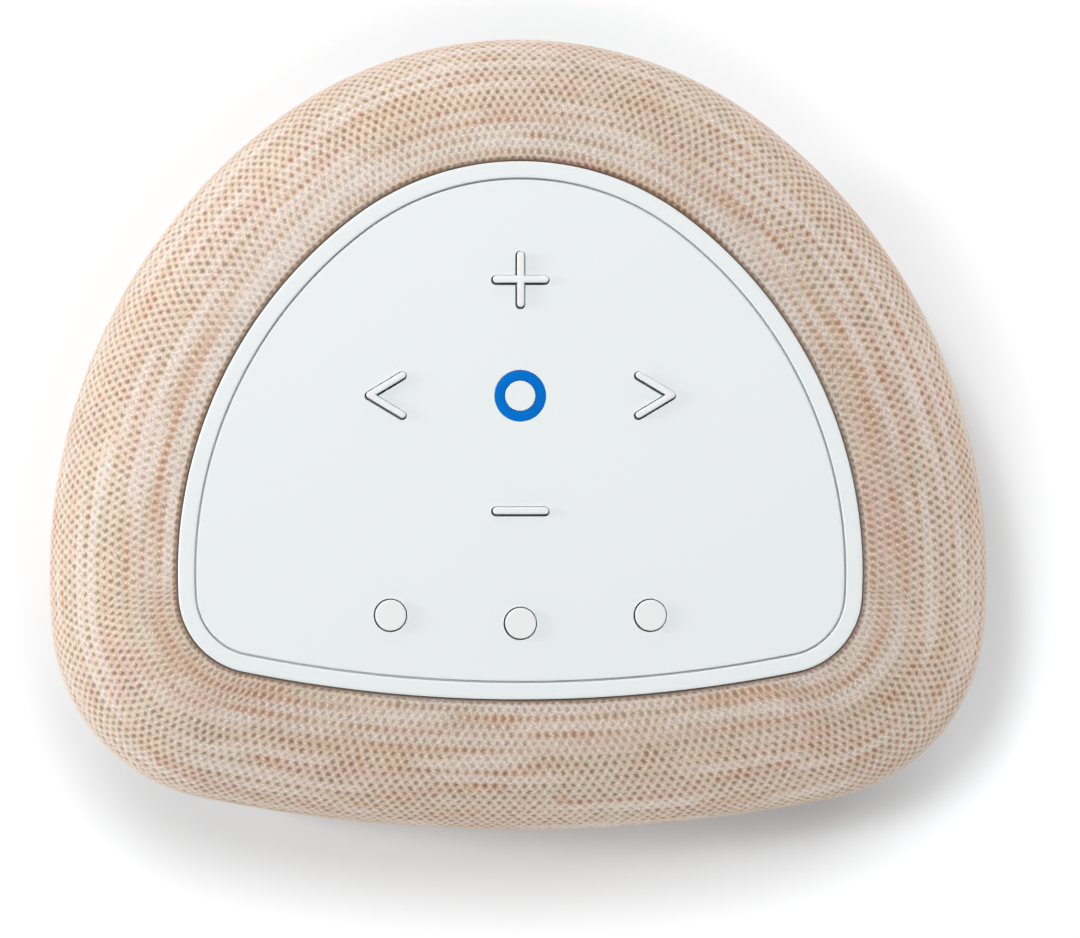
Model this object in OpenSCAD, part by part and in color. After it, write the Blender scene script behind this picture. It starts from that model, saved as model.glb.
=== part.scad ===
/* Fabric-covered wireless speaker with a rounded-triangle plan and keys on its top panel.
   The cover, its grille frame and the panel are lofted from two outlines: the belt, where the body is
   widest, and the panel's edge. Each outline is a chain of tangent arcs, read by the direction it faces. */

/* [Body] */
// Width over the belt
body_w = 210; // [200:1:216]
// Depth over the belt, front to back
body_d = 177; // [173:1:181]
// Height of the panel's face above the table
panel_z = 140; // [138:0.5:145]
// Height of the belt above the table
belt_z = 104; // [102:0.5:106]
// Radius of the belt's back, as a share of the width
back_share = 0.43; // [0.42:0.005:0.44]
// Radius of the belt's two front corners, as a share of the width
corner_share = 0.2; // [0.19:0.005:0.21]
// How far the body draws in from the belt to the cover's bottom edge
tuck = 13; // [12:0.5:13.5]
// Height of the cover's bottom edge above the table
cover_low_z = 8.5; // [8.4:0.1:9]
// Drop of the cover's top edge below the panel's face
cover_drop = 1; // [0.8:0.1:1.2]

/* [Outlines] */
// Direction at which each outline's back arc meets its side arc, in degrees
back_turn = 53; // [52:0.5:54]
// Direction at which each outline's corner arc meets its front arc, in degrees
front_turn = -78.5; // [-79.5:0.5:-77.5]

/* [Walls] */
// Thickness of the knitted cover
cover_t = 1.2; // [1:0.1:1.3]
// Gap between the cover's top edge and the bezel
cover_gap = 0.5; // [0.4:0.1:0.7]
// Thickness of the grille frame under the cover
frame_t = 2.5; // [2.2:0.1:2.7]
// Gap between the cover and the grille frame
rest_gap = 0.3; // [0.25:0.05:0.4]
// Distance from the belt to the cabinet's outer face
cabinet_inset = 24; // [23.5:0.5:24.5]
// Thickness of the cabinet's walls, floor and lid
cabinet_t = 3; // [2.5:0.1:3.2]
// Height of the cabinet's underside
cabinet_z = 29; // [28.5:0.5:30]
// Height of the electronics bay between the cabinet's lid and the panel's carrier
bay_h = 12.4; // [11.5:0.1:13]
// Thickness of the foam gaskets
gasket_t = 1; // [0.8:0.1:1.2]

/* [Panel] */
// Width of the cover seen from above at each side of the panel
side_margin = 32.5; // [31.5:0.5:33.5]
// Width of the cover seen from above in front of and behind the panel
end_margin = 31.5; // [30.5:0.5:32.5]
// Radius of the panel's back, as a share of the panel's width
panel_back_share = 0.4; // [0.39:0.005:0.41]
// Radius of the panel's two front corners, as a share of the panel's width
panel_corner_share = 0.117; // [0.11:0.001:0.124]
// Shift of the panel towards the back
panel_shift = 0.5; // [0:0.1:1.5]
// Width of the bezel seen from above
bezel_w = 3.5; // [3.3:0.1:3.6]
// Thickness of the bezel's flange and of the control plate's face
face_t = 2; // [1.8:0.1:2.1]
// Gap between the bezel and the control plate
shut_gap = 0.4; // [0.3:0.05:0.5]
// Thickness of the bezel's and the control plate's skirts
skirt_t = 1.6; // [1.4:0.1:1.6]
// Depth of the grille frame's ledge below the panel's face
ledge_drop = 5.5; // [5.4:0.1:5.8]
// Width of the ledge inside the panel's edge
ledge_w = 6.5; // [6:0.5:7]

/* [Keys] */
// How far the keys stand above the panel
key_rise = 0.8; // [0.6:0.1:1]
// How far the play key stands above the light ring
play_rise = 0.2; // [0.1:0.1:0.4]
// Travel of each key
key_travel = 0.45; // [0.3:0.05:0.45]
// Gap round each key in its hole
key_gap = 0.3; // [0.2:0.05:0.4]
// Width of the flange that holds each key under the panel
key_lip = 0.8; // [0.6:0.1:0.8]
// Width of the bars that make the plus and minus keys
bar_w = 1.5; // [1.4:0.1:1.7]
// Length of the plus and minus keys
bar_l = 11.8; // [11.2:0.2:12.4]
// Width of an arrow key's two bars
arrow_w = 1.35; // [1.25:0.05:1.5]
// Length of each of an arrow key's two bars
arrow_l = 9.5; // [9:0.1:10]
// Angle between an arrow key's bars and its axis, in degrees
arrow_turn = 31; // [29:1:33]
// Radius of the three round keys
round_r = 3.25; // [3.05:0.1:3.45]
// Width of the chamfer on the round keys
key_edge = 0.25; // [0.15:0.05:0.3]
// Outer radius of the light ring
ring_r = 5.4; // [5.2:0.1:5.6]
// Radius of the play key inside the light ring
play_r = 3.2; // [3:0.1:3.3]
// Gap between the play key and the light ring
play_gap = 0.1; // [0.1:0.05:0.15]
// Distance of the plus and minus keys from the light ring's centre
volume_pitch = 24.5; // [23.5:0.1:25.5]
// Distance of each arrow key's point from the light ring's centre
arrow_pitch = 32; // [31:0.1:33]
// Distance of the light ring's centre behind the panel's middle
ring_y = 7.3; // [6.7:0.1:7.9]
// Sideways pitch of the round keys
round_pitch = 27.5; // [26.5:0.1:28.5]
// Distance of the outer round keys behind the panel's front edge
round_margin = 17.8; // [17.3:0.1:18.3]
// How much further forward the middle round key lies
round_bow = 1.7; // [1:0.1:2]

/* [Drivers] */
// Distance of the woofer's flange from the cabinet's top and underside
woofer_margin = 5; // [4.5:0.5:6]
// Radius of each tweeter's face plate
tweeter_r = 17; // [16.5:0.1:17.5]
// Depth of the tweeters' axes below the cabinet's top
tweeter_drop = 23; // [21:0.5:25]
// Direction that the right tweeter faces, in degrees
tweeter_turn = 8; // [5:1:12]
// Radius of the passive radiator's frame
radiator_r = 30; // [29.5:0.1:30.5]
// Height of the passive radiator's axis above the cabinet's middle
radiator_lift = 2; // [0:0.5:4]
// Height of the woofer's and the tweeters' seats above the cabinet's wall
seat_h = 4; // [3.5:0.1:4.5]

/* [Base] */
// Height of the base plate above the table
foot_h = 3; // [2.8:0.1:3.2]
// Thickness of the base plate's floor
base_t = 3; // [2.8:0.1:3.1]
// Distance from the belt to the base plate's edge
base_inset = 14.6; // [14.4:0.1:14.8]
// Distance from the belt to the foot ring
foot_inset = 22; // [20:0.5:26]
// Width of the foot ring
foot_w = 8; // [6:0.5:9]

/* [Power and ports] */
// Radius of a battery cell
cell_r = 9.2; // [9:0.1:9.3]
// Length of a battery cell
cell_l = 65; // [64:0.5:66]
// Height of the sockets above the table
socket_z = 21; // [20.5:0.1:21.5]
// Bore radius of the line-in socket
aux_r = 1.8; // [1.75:0.05:1.85]
// Depth of the line-in socket's bore
aux_depth = 12; // [11:0.5:12.5]

/* [Hidden] */
$fn = 64;

/* Outlines. A chain is [back, side, corner, front] for the right half, each [x, y, radius, direction at
   which the arc ends]. It runs from the back, which faces 90 degrees, to the front, which faces -90. */
function chain(w, d, back_r, corner_r, shift) = let (
    side_r = (w / 2 - back_r * cos(back_turn)) / (1 - cos(back_turn)),
    back = [0, shift + d / 2 - back_r],
    side = back + (back_r - side_r) * [cos(back_turn), sin(back_turn)],
    lean = 45 + front_turn / 2,
    drop = back_r + corner_r - d - (side.y - back.y) + tan(lean) * side.x,
    side_turn = lean + asin(drop * cos(lean) / (side_r - corner_r)),
    corner = side + (side_r - corner_r) * [cos(side_turn), sin(side_turn)],
    front_r = corner_r + corner.x / cos(front_turn),
    front = [0, corner.y + (corner_r - front_r) * sin(front_turn)])
    [[back.x, back.y, back_r, back_turn], [side.x, side.y, side_r, side_turn],
     [corner.x, corner.y, corner_r, front_turn], [front.x, front.y, front_r, -90]];

// Point of a chain's outline that faces a direction, moved inwards
function edge(c, a, inset = 0) = let (
    left = a > 90 || a < -90,
    b = left ? (a > 90 ? 180 - a : -180 - a) : a,
    k = b >= c[0][3] ? 0 : b >= c[1][3] ? 1 : b >= c[2][3] ? 2 : 3,
    p = [c[k].x, c[k].y] + (c[k][2] - inset) * [cos(b), sin(b)])
    [left ? -p.x : p.x, p.y];

// Directions sampled round a chain, with a number of steps on its back, side, corner and front arc
function half_turns(c, steps) = [
    for (k = [0:3], j = [0:steps[k] - 1])
        let (from = k == 0 ? 90 : c[k - 1][3]) from + (c[k][3] - from) * j / steps[k]];
function turns(c, steps) = let (h = half_turns(c, steps))
    concat(h, [-90], [for (i = [len(h) - 1:-1:1]) 180 - h[i]]);
function outline(c, inset, steps) = [for (a = turns(c, steps)) edge(c, a, inset)];

panel_w = body_w - 2 * side_margin;
panel_d = body_d - 2 * end_margin;
belt = chain(body_w, body_d, back_share * body_w, corner_share * body_w, 0);
panel = chain(panel_w, panel_d, panel_back_share * panel_w, panel_corner_share * panel_w, panel_shift);
rim = chain(panel_w + 2 * cover_gap, panel_d + 2 * cover_gap,
    panel_back_share * panel_w + cover_gap, panel_corner_share * panel_w + cover_gap, panel_shift);
loft_steps = [5, 11, 11, 7];
plan_steps = [8, 14, 14, 8];
loft_turns = turns(belt, loft_steps);

/* Body surface. A level is an angle on the body's side profile: 0 at the belt, level_max at the
   cover's top edge and -level_max at its bottom edge. Each level's point can lie below the surface. */
level_max = 80;
cover_top_z = panel_z - cover_drop;
function reach(up) = up ? cover_top_z - belt_z : belt_z - cover_low_z;
function level_of(z) = asin((z - belt_z) * sin(level_max) / reach(z > belt_z));
function skin(level, a, depth) = let (
    up = level >= 0,
    face = [cos(a), sin(a)],
    out = edge(belt, a),
    span = up ? (out - edge(rim, a)) : face * tuck,
    share = (1 - cos(level)) / (1 - cos(level_max)),
    inward = (span * face) * sin(level) / (1 - cos(level_max)),
    climb = reach(up) * cos(level) / sin(level_max),
    plan = out - span * share - face * depth * climb / norm([inward, climb]),
    z = belt_z + reach(up) * sin(level) / sin(level_max) - depth * inward / norm([inward, climb]))
    [plan.x, plan.y, z];
function skin_ring(level, depth) = [for (a = loft_turns) skin(level, a, depth)];
function flat_ring(c, inset, z) = [
    for (a = loft_turns) let (p = edge(c, a, inset)) [p.x, p.y, z]];

// Closed band through rings of points. Ring j and ring last - j face each other across the wall,
// and a cell listed in open, as [j, i], is a hole through it.
module band(rings, open = []) {
    n = len(rings[0]);
    last = len(rings) - 1;
    at = function (r, i) (r % (last + 1)) * n + i % n;
    gone = function (r, i) len([for (o = open) if (o == [min(r, last - 1 - r), i]) o]) > 0;
    quad = function (a, b, c, d) [[a, c, b], [a, d, c]];
    skins = [for (r = [0:last], i = [0:n - 1]) if (r == last || !gone(r, i))
        each quad(at(r, i), at(r + 1, i), at(r + 1, i + 1), at(r, i + 1))];
    walls = [for (o = open) let (j = o[0], i = o[1], left = (i + n - 1) % n, right = (i + 1) % n) each [
        if (!gone(j, left)) each quad(at(j, i), at(j + 1, i), at(last - j - 1, i), at(last - j, i)),
        if (!gone(j, right))
            each quad(at(j + 1, right), at(j, right), at(last - j, right), at(last - j - 1, right)),
        if (!gone(j - 1, i)) each quad(at(j, right), at(j, i), at(last - j, i), at(last - j, right)),
        if (!gone(j + 1, i))
            each quad(at(j + 1, i), at(j + 1, right), at(last - j - 1, right), at(last - j - 1, i))]];
    polyhedron(points = [for (ring = rings) each ring], faces = concat(skins, walls), convexity = 8);
}

module plan(c, inset) polygon(outline(c, inset, plan_steps));
module slab(from, to) translate([0, 0, from]) linear_extrude(to - from) children();
module hoop(c, outer, inner) difference() {
    plan(c, outer);
    plan(c, inner);
}
module pipe(from, to, outer, inner) translate([0, 0, from]) difference() {
    cylinder(h = to - from, r = outer);
    translate([0, 0, -1]) cylinder(h = to - from + 2, r = inner);
}
module post(p, from, to, r) translate([p.x, p.y, from]) cylinder(h = to - from, r = r);
module cylinder_from(from, to, r) translate([0, 0, from]) cylinder(h = to - from, r = r);
module block(x, y, z) translate([x[0], y[0], z[0]]) cube([x[1] - x[0], y[1] - y[0], z[1] - z[0]]);

/* Levels of the stack under the panel, from the top down */
plate_z = panel_z - face_t;
ledge_z = panel_z - ledge_drop;
flange_t = 1.5;
carrier_top = ledge_z + flange_t;
board_t = 1.6;
carrier_drop = 3.1;
carrier_t = 2;
board_z = ledge_z - carrier_drop + carrier_t;
board_top = board_z + board_t;
mat_t = 0.6;
lip_t = 0.9;
lip_gap = 0.1;
lip_z = plate_z - lip_gap - lip_t;
stem_h = 0.4;
stem_r = 0.7;
switch_gap = 0.05;
play_lip_z = lip_z - lip_t;
ring_at = [0, panel_shift + ring_y];
carrier_wall = 8;
board_inset = carrier_wall + 3;

/* Side shell: the knitted cover and the perforated frame inside it. Both leave a window at the back,
   over the sockets. Its rows are given by their heights, the others by their levels, and half is the
   number of its cells to each side of the middle. */
cover_window = [15.8, 24.5, 33.1];
cover_levels = [-level_max, -73, for (z = cover_window) level_of(z), -34, -22, -11, 0,
    each [10:10:level_max]];
n_turns = len(loft_turns);
function window(rows, half) = [for (j = rows, i = [-half:half - 1]) [j, (i + n_turns) % n_turns]];

module fabric_cover() color([0.80, 0.74, 0.68]) band(concat(
    [for (t = cover_levels) skin_ring(t, 0)],
    [for (i = [len(cover_levels) - 1:-1:0]) skin_ring(cover_levels[i], cover_t)]),
    window([2, 3], 2));

frame_window = [11.9, 19.3, 26.6, 33.9, 41];
frame_levels = [for (z = frame_window) level_of(z), -32, -24, -16, -8, 0, 11, 22, 33, 44, 54, 62];
frame_seat_z = foot_h + base_t + 3.5;
frame_flange_t = 2.5;
flange_gap = 0.6;
frame_out = cover_t + rest_gap;
bottom_rings = 2;
ledge_rings = [[rim, -3.6], [panel, ledge_w]];
module grille_frame() color([0.16, 0.16, 0.17]) {
    outer = concat(
        [flat_ring(belt, cabinet_inset - 1, frame_seat_z),
         flat_ring(belt, base_inset + flange_gap, frame_seat_z)],
        [for (t = frame_levels) skin_ring(t, frame_out)],
        [for (ring = ledge_rings) flat_ring(ring[0], ring[1], ledge_z)]);
    inner = concat(
        [flat_ring(belt, cabinet_inset - 1, frame_seat_z + frame_flange_t),
         flat_ring(belt, base_inset + flange_gap + frame_flange_t + 0.5, frame_seat_z + frame_flange_t)],
        [for (t = frame_levels) skin_ring(t, frame_out + frame_t)],
        [for (ring = ledge_rings) flat_ring(ring[0], ring[1], ledge_z - frame_flange_t)]);
    window_top = bottom_rings + len(frame_window) - 2;
    holes = [for (j = [bottom_rings + 1:2:bottom_rings + len(frame_levels) - 2], i = [0:2:n_turns - 1])
        if (j > window_top + 1 || (i > 5 && i < n_turns - 5)) [j, i]];
    band(concat(outer, [for (i = [len(inner) - 1:-1:0]) inner[i]]),
        concat(holes, window([bottom_rings:window_top], 3)));
}

base_wall = 3.4;
base_post_r = 5;
head_seat = 2.2;
foot_groove = 1.5;
module base_plate() color([0.14, 0.14, 0.15]) difference() {
    union() {
        slab(foot_h, foot_h + base_t) plan(belt, base_inset);
        slab(foot_h, cover_low_z - rest_gap) hoop(belt, base_inset, base_inset + base_wall);
        slab(foot_h, frame_seat_z) hoop(belt, base_inset + 1, base_inset + base_wall);
        for (p = base_posts) post(p, foot_h, cabinet_z, base_post_r);
    }
    slab(foot_h - 1, foot_h + foot_groove) hoop(belt, foot_inset, foot_inset + foot_w);
    for (p = base_posts) {
        post(p, foot_h - 1, foot_h + head_seat, head_r + 2 * screw_fit);
        post(p, foot_h, cabinet_z + 1, screw_r + screw_fit);
    }
}

module foot_ring() color([0.08, 0.08, 0.08])
    slab(0, foot_h + foot_groove) hoop(belt, foot_inset, foot_inset + foot_w);

/* Panel: bezel, control plate, light ring and keys */
module bar(l, w) polygon([
    for (end = [0, 1], i = [0:8]) let (a = 90 - 22.5 * i + 180 * end)
        [(end == 0 ? 1 : -1) * (l - w) / 2, 0] + w / 2 * [cos(a), sin(a)]]);
module plus_shape(grow) {
    bar(bar_l + 2 * grow, bar_w + 2 * grow);
    rotate(90) bar(bar_l + 2 * grow, bar_w + 2 * grow);
}
module minus_shape(grow) bar(bar_l + 2 * grow, bar_w + 2 * grow);
module arrow_shape(grow) for (s = [-1, 1]) rotate(s * arrow_turn)
    translate([-(arrow_l - arrow_w) / 2, 0]) bar(arrow_l + 2 * grow, arrow_w + 2 * grow);

plus_at = ring_at + [0, volume_pitch];
minus_at = ring_at - [0, volume_pitch];
function arrow_at(side) = ring_at + [side * arrow_pitch, 0];
arrow_stem = 2.5;
panel_front = panel_shift - panel_d / 2;
function round_at(k) = [k * round_pitch, panel_front + round_margin - (k == 0 ? round_bow : 0)];

bezel_flange = 2.6;
module panel_bezel() color([0.90, 0.93, 0.93]) {
    slab(plate_z, panel_z) hoop(panel, 0, bezel_w);
    slab(ledge_z, plate_z) hoop(panel, 0, skirt_t);
    slab(ledge_z, carrier_top) hoop(panel, -bezel_flange, skirt_t);
}

module control_plate() color([0.88, 0.91, 0.92]) difference() {
    union() {
        slab(plate_z, panel_z) plan(panel, bezel_w + shut_gap);
        slab(carrier_top, plate_z) hoop(panel, bezel_w + shut_gap, bezel_w + shut_gap + skirt_t);
    }
    slab(plate_z - 1, panel_z + 1) translate(plus_at) plus_shape(key_gap);
    slab(plate_z - 1, panel_z + 1) translate(minus_at) minus_shape(key_gap);
    for (side = [-1, 1]) slab(plate_z - 1, panel_z + 1)
        translate(arrow_at(side)) rotate(side > 0 ? 0 : 180) arrow_shape(key_gap);
    for (k = [-1, 0, 1]) post(round_at(k), plate_z - 1, panel_z + 1, round_r + key_gap);
    post(ring_at, plate_z - 1, panel_z + 1, ring_r + ring_fit);
}

ring_fit = 0.05;
ring_lip = 1.2;
ring_lip_z = lip_z - 0.4;
module light_ring() color([0.05, 0.44, 0.84]) translate([ring_at.x, ring_at.y, 0]) {
    pipe(lip_z, panel_z, ring_r, play_r + play_gap);
    pipe(ring_lip_z, plate_z - lip_gap, ring_r + ring_lip, play_r + ring_lip);
}

module shaped_key(p, stem = [0, 0]) translate([p.x, p.y, 0]) {
    slab(lip_z, panel_z + key_rise) children(0);
    slab(lip_z, lip_z + lip_t) children(1);
    post(stem, lip_z - stem_h, lip_z + lip_t / 2, stem_r);
}
module volume_up_key() color([0.93, 0.95, 0.95]) shaped_key(plus_at) {
    plus_shape(0);
    plus_shape(key_lip);
}
module volume_down_key() color([0.93, 0.95, 0.95]) shaped_key(minus_at) {
    minus_shape(0);
    minus_shape(key_lip);
}
module arrow_key(side) color([0.93, 0.95, 0.95]) shaped_key(arrow_at(side), [-side * arrow_stem, 0]) {
    rotate(side > 0 ? 0 : 180) arrow_shape(0);
    rotate(side > 0 ? 0 : 180) arrow_shape(key_lip);
}
module previous_key() arrow_key(-1);
module next_key() arrow_key(1);
module play_key() color([0.93, 0.95, 0.95]) translate([ring_at.x, ring_at.y, 0]) {
    cylinder_from(play_lip_z, panel_z + play_rise, play_r);
    cylinder_from(play_lip_z, lip_z - lip_gap, play_r + key_lip);
}
module round_key(k) color([0.93, 0.95, 0.95]) translate([round_at(k).x, round_at(k).y, 0]) {
    rotate_extrude() polygon([
        [0, lip_z], [round_r + key_lip, lip_z], [round_r + key_lip, lip_z + lip_t],
        [round_r, lip_z + lip_t], [round_r, panel_z + key_rise - key_edge],
        [round_r - key_edge, panel_z + key_rise], [0, panel_z + key_rise]]);
    cylinder_from(lip_z - stem_h, lip_z + lip_t / 2, stem_r);
}
module left_round_key() round_key(-1);
module middle_round_key() round_key(0);
module right_round_key() round_key(1);

/* Under the keys: rubber mat, switches, lights and their board */
switch_points = [plus_at, minus_at, round_at(-1), round_at(0), round_at(1),
    arrow_at(-1) + [arrow_stem, 0], arrow_at(1) - [arrow_stem, 0]];
switch_r = 1.5;
corners = [45:90:315];
light_r = 0.8;
light_points = [for (a = corners) ring_at + 5.5 * [cos(a), sin(a)]];
mat_fit = 0.3;
collar_r = 2;
collar_t = 0.6;
play_collar_r = 2.2;
play_collar_t = 1.2;

module key_mat() color([0.75, 0.76, 0.76]) {
    difference() {
        slab(board_top, board_top + mat_t) plan(panel, board_inset + 1);
        for (p = concat(switch_points, [ring_at])) post(p, board_top - 1, board_top + 2, switch_r + mat_fit);
        for (p = light_points) post(p, board_top - 1, board_top + 2, light_r + mat_fit);
    }
    for (p = switch_points) translate([p.x, p.y, 0])
        pipe(board_top + mat_t, lip_z, collar_r + collar_t, collar_r);
    translate([ring_at.x, ring_at.y, 0])
        pipe(board_top + mat_t, play_lip_z, play_collar_r + play_collar_t, play_collar_r);
}

module tact_switches() color([0.25, 0.25, 0.26]) {
    for (p = switch_points) post(p, board_top, lip_z - stem_h - key_travel - switch_gap, switch_r);
    post(ring_at, board_top, play_lip_z - key_travel - switch_gap, switch_r);
}

module ring_leds() color([0.95, 0.95, 0.85])
    for (p = light_points) post(p, board_top, ring_lip_z - 0.4, light_r);

module control_board() color([0.05, 0.30, 0.16]) slab(board_z, board_top) plan(panel, board_inset);

ribbon_y = panel_front + 15.5;
ribbon_w = 20;
ribbon_t = 0.3;
module panel_carrier() color([0.20, 0.20, 0.21]) difference() {
    union() {
        slab(ledge_z, carrier_top) hoop(panel, skirt_t + 0.4, carrier_wall + 2);
        slab(board_z - carrier_t, carrier_top) hoop(panel, carrier_wall, carrier_wall + 2);
        slab(board_z - carrier_t, board_z) plan(panel, carrier_wall);
    }
    block([-ribbon_w / 2 - 1, ribbon_w / 2 + 1], [ribbon_y - 1.5, ribbon_y + 1.5],
        [board_z - carrier_t - 1, board_z + 1]);
}

/* Cabinet. Drivers are drawn with their axis up and their height measured from the cabinet's outer
   face, and facing() lays them on it. */
module facing(a, z) let (p = edge(belt, a, cabinet_inset)) translate([p.x, p.y, z]) rotate([0, 90, a])
    children();

lid_top = board_z - carrier_t - bay_h;
lid_z = lid_top - cabinet_t;
cabinet_top = lid_z - gasket_t;
cabinet_mid = (cabinet_z + cabinet_top) / 2;
woofer_z = cabinet_mid;
woofer_r = (cabinet_top - cabinet_z) / 2 - woofer_margin;
woofer_bore = woofer_r - 4.2;
tweeter_z = cabinet_top - tweeter_drop;
tweeter_bore = tweeter_r - 4.5;
radiator_z = cabinet_mid + radiator_lift;
radiator_bore = radiator_r - 5.2;
radiator_seat = 2;
screw_r = 1.5;
screw_fit = 0.1;
head_r = 3;
lid_points = [for (a = [40, 140, -45, -135]) edge(belt, a, cabinet_inset + cabinet_t + 3.5)];
base_posts = [for (a = [35, 145, -50, -130]) edge(belt, a, cabinet_inset + cabinet_t + 11)];
boss_r = 4;
boss_h = 9;
lid_boss_h = 14;

module cabinet() color([0.22, 0.22, 0.23]) difference() {
    union() {
        slab(cabinet_z, cabinet_z + cabinet_t) plan(belt, cabinet_inset);
        slab(cabinet_z, cabinet_top) hoop(belt, cabinet_inset, cabinet_inset + cabinet_t);
        for (p = lid_points) post(p, cabinet_top - lid_boss_h, cabinet_top, boss_r);
        for (p = base_posts) post(p, cabinet_z, cabinet_z + boss_h, boss_r);
        facing(-90, woofer_z) cylinder_from(-cabinet_t - 2, seat_h, woofer_r + 2);
        for (side = [-1, 1]) at_tweeter(side) cylinder_from(-cabinet_t - 1, seat_h, tweeter_r + 2);
        facing(90, radiator_z) cylinder_from(-cabinet_t - 8, radiator_seat, radiator_r + 2);
    }
    facing(-90, woofer_z) cylinder_from(-30, 30, woofer_bore);
    facing(-90, woofer_z) for (a = corners) rotate(a) translate([woofer_screw_at, 0, 0])
        cylinder_from(-3, seat_h + 1, screw_r);
    for (side = [-1, 1]) at_tweeter(side) {
        cylinder_from(-20, 20, tweeter_bore);
        for (a = corners) rotate(a) translate([tweeter_screw_at, 0, 0])
            cylinder_from(-2, seat_h + 1, screw_r);
    }
    facing(90, radiator_z) {
        cylinder_from(-30, 30, radiator_bore);
        for (a = corners) rotate(a) translate([radiator_screw_at, 0, 0])
            cylinder_from(-6, radiator_seat + 1, screw_r);
    }
    for (p = lid_points) post(p, cabinet_top - lid_boss_h + 4, cabinet_top + 1, screw_r);
    for (p = base_posts) post(p, cabinet_z - 1, cabinet_z + boss_h - 2, screw_r);
}

module lid_gasket() color([0.10, 0.10, 0.10]) difference() {
    slab(cabinet_top, lid_z) hoop(belt, cabinet_inset, cabinet_inset + cabinet_t);
    for (p = lid_points) post(p, cabinet_top - 1, lid_z + 1, boss_r + 2 * screw_fit);
}

/* The main board over the lid. on_board() gives a place by its shares of the board's half sizes. */
main_w = panel_w - 45;
main_d = panel_d - 28;
main_y = -3;
function on_board(u, v) = [u * main_w / 2, main_y + v * main_d / 2];
lid_post_h = 4;
lid_post_points = [for (u = [-0.88, 0.88], v = [-0.86, 0.86]) on_board(u, v)];
module cabinet_lid() color([0.24, 0.24, 0.25]) difference() {
    union() {
        slab(lid_z, lid_top) plan(belt, cabinet_inset);
        for (p = lid_points) post(p, cabinet_top, lid_z + 1, boss_r);
        for (p = lid_post_points) post(p, lid_top - 1, lid_top + lid_post_h, 3);
    }
    for (p = lid_points) post(p, cabinet_top - 1, lid_top + 1, screw_r + screw_fit);
}

/* Woofer */
flange_z = seat_h + gasket_t;
flange_top = flange_z + 2;
woofer_screw_at = woofer_r - 2.4;
woofer_mouth = woofer_r - 6.2;
roll_r = 2.7;
roll_at = woofer_mouth - roll_r;
cone_rim = woofer_mouth - 2 * roll_r;
coil_r = 0.262 * woofer_r;
pole_r = coil_r - 0.95;
spider_in = 0.33 * woofer_r;
top_plate_r = 0.58 * woofer_r;
magnet_r = 0.63 * woofer_r;
dust_r = 0.685 * woofer_r;
top_plate_z = -26;
top_plate_t = 4;
magnet_z = -36;
yoke_z = -40;
shelf_z = -17.5;
shelf_r = woofer_mouth - 3.8;
spider_z = -14.6;
spider_t = 0.5;
spider_wave = 0.8;
spider_step = (shelf_r - 4.3 - spider_in) / 16;

module woofer_gasket() color([0.10, 0.10, 0.10]) facing(-90, woofer_z) difference() {
    pipe(seat_h, flange_z, woofer_r, woofer_bore);
    for (a = corners) rotate(a) translate([woofer_screw_at, 0, 0]) cylinder_from(0, 9, screw_r + screw_fit);
}

module woofer_basket() color([0.30, 0.30, 0.31]) facing(-90, woofer_z) difference() {
    union() {
        pipe(flange_z, flange_top, woofer_r, woofer_mouth);
        pipe(shelf_z, flange_z + 1, woofer_bore - 0.3, woofer_mouth);
        pipe(top_plate_z + top_plate_t, shelf_z, woofer_bore - 0.3, spider_in - 0.5);
        pipe(shelf_z, spider_z, shelf_r, shelf_r - 4);
    }
    for (a = [0:60:300]) rotate(a) translate([woofer_mouth / 2, -0.24 * woofer_r, shelf_z + 3])
        cube([woofer_r, 0.48 * woofer_r, 14]);
    for (a = corners) rotate(a) translate([woofer_screw_at, 0, 0]) cylinder_from(0, 9, screw_r + screw_fit);
}

module woofer_top_plate() color([0.62, 0.63, 0.65]) facing(-90, woofer_z)
    pipe(top_plate_z, top_plate_z + top_plate_t, top_plate_r, coil_r + 0.45);

module woofer_ring_magnet() color([0.20, 0.20, 0.21]) facing(-90, woofer_z)
    pipe(magnet_z, top_plate_z, magnet_r, spider_in);

module woofer_yoke() color([0.62, 0.63, 0.65]) facing(-90, woofer_z) {
    cylinder_from(yoke_z, magnet_z, top_plate_r);
    cylinder_from(magnet_z, top_plate_z + top_plate_t, pole_r);
}

module woofer_voice_coil() color([0.72, 0.45, 0.20]) facing(-90, woofer_z)
    pipe(top_plate_z - 4, -9, coil_r, coil_r - 0.45);

module woofer_cone() color([0.13, 0.13, 0.14]) facing(-90, woofer_z) rotate_extrude() polygon([
    [coil_r, -15], [coil_r + 0.9, -15], [coil_r + 0.9, -9.6], [cone_rim - 2, flange_top - 1.2],
    [cone_rim, flange_top - 1.2], [cone_rim, flange_top], [cone_rim - 2.6, flange_top], [coil_r, -8.6]]);

dust_t = 0.6;
dust_turn = 30;
dust_rim_z = -4.85;
module woofer_dust_cap() color([0.10, 0.10, 0.11]) facing(-90, woofer_z) rotate_extrude() {
    centre_z = dust_rim_z - dust_r * cos(dust_turn);
    polygon(concat(
        [for (a = [0:5:dust_turn]) [dust_r * sin(a), centre_z + dust_r * cos(a)]],
        [for (a = [dust_turn:-5:0]) [(dust_r - dust_t) * sin(a), centre_z + (dust_r - dust_t) * cos(a)]]));
}

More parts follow.
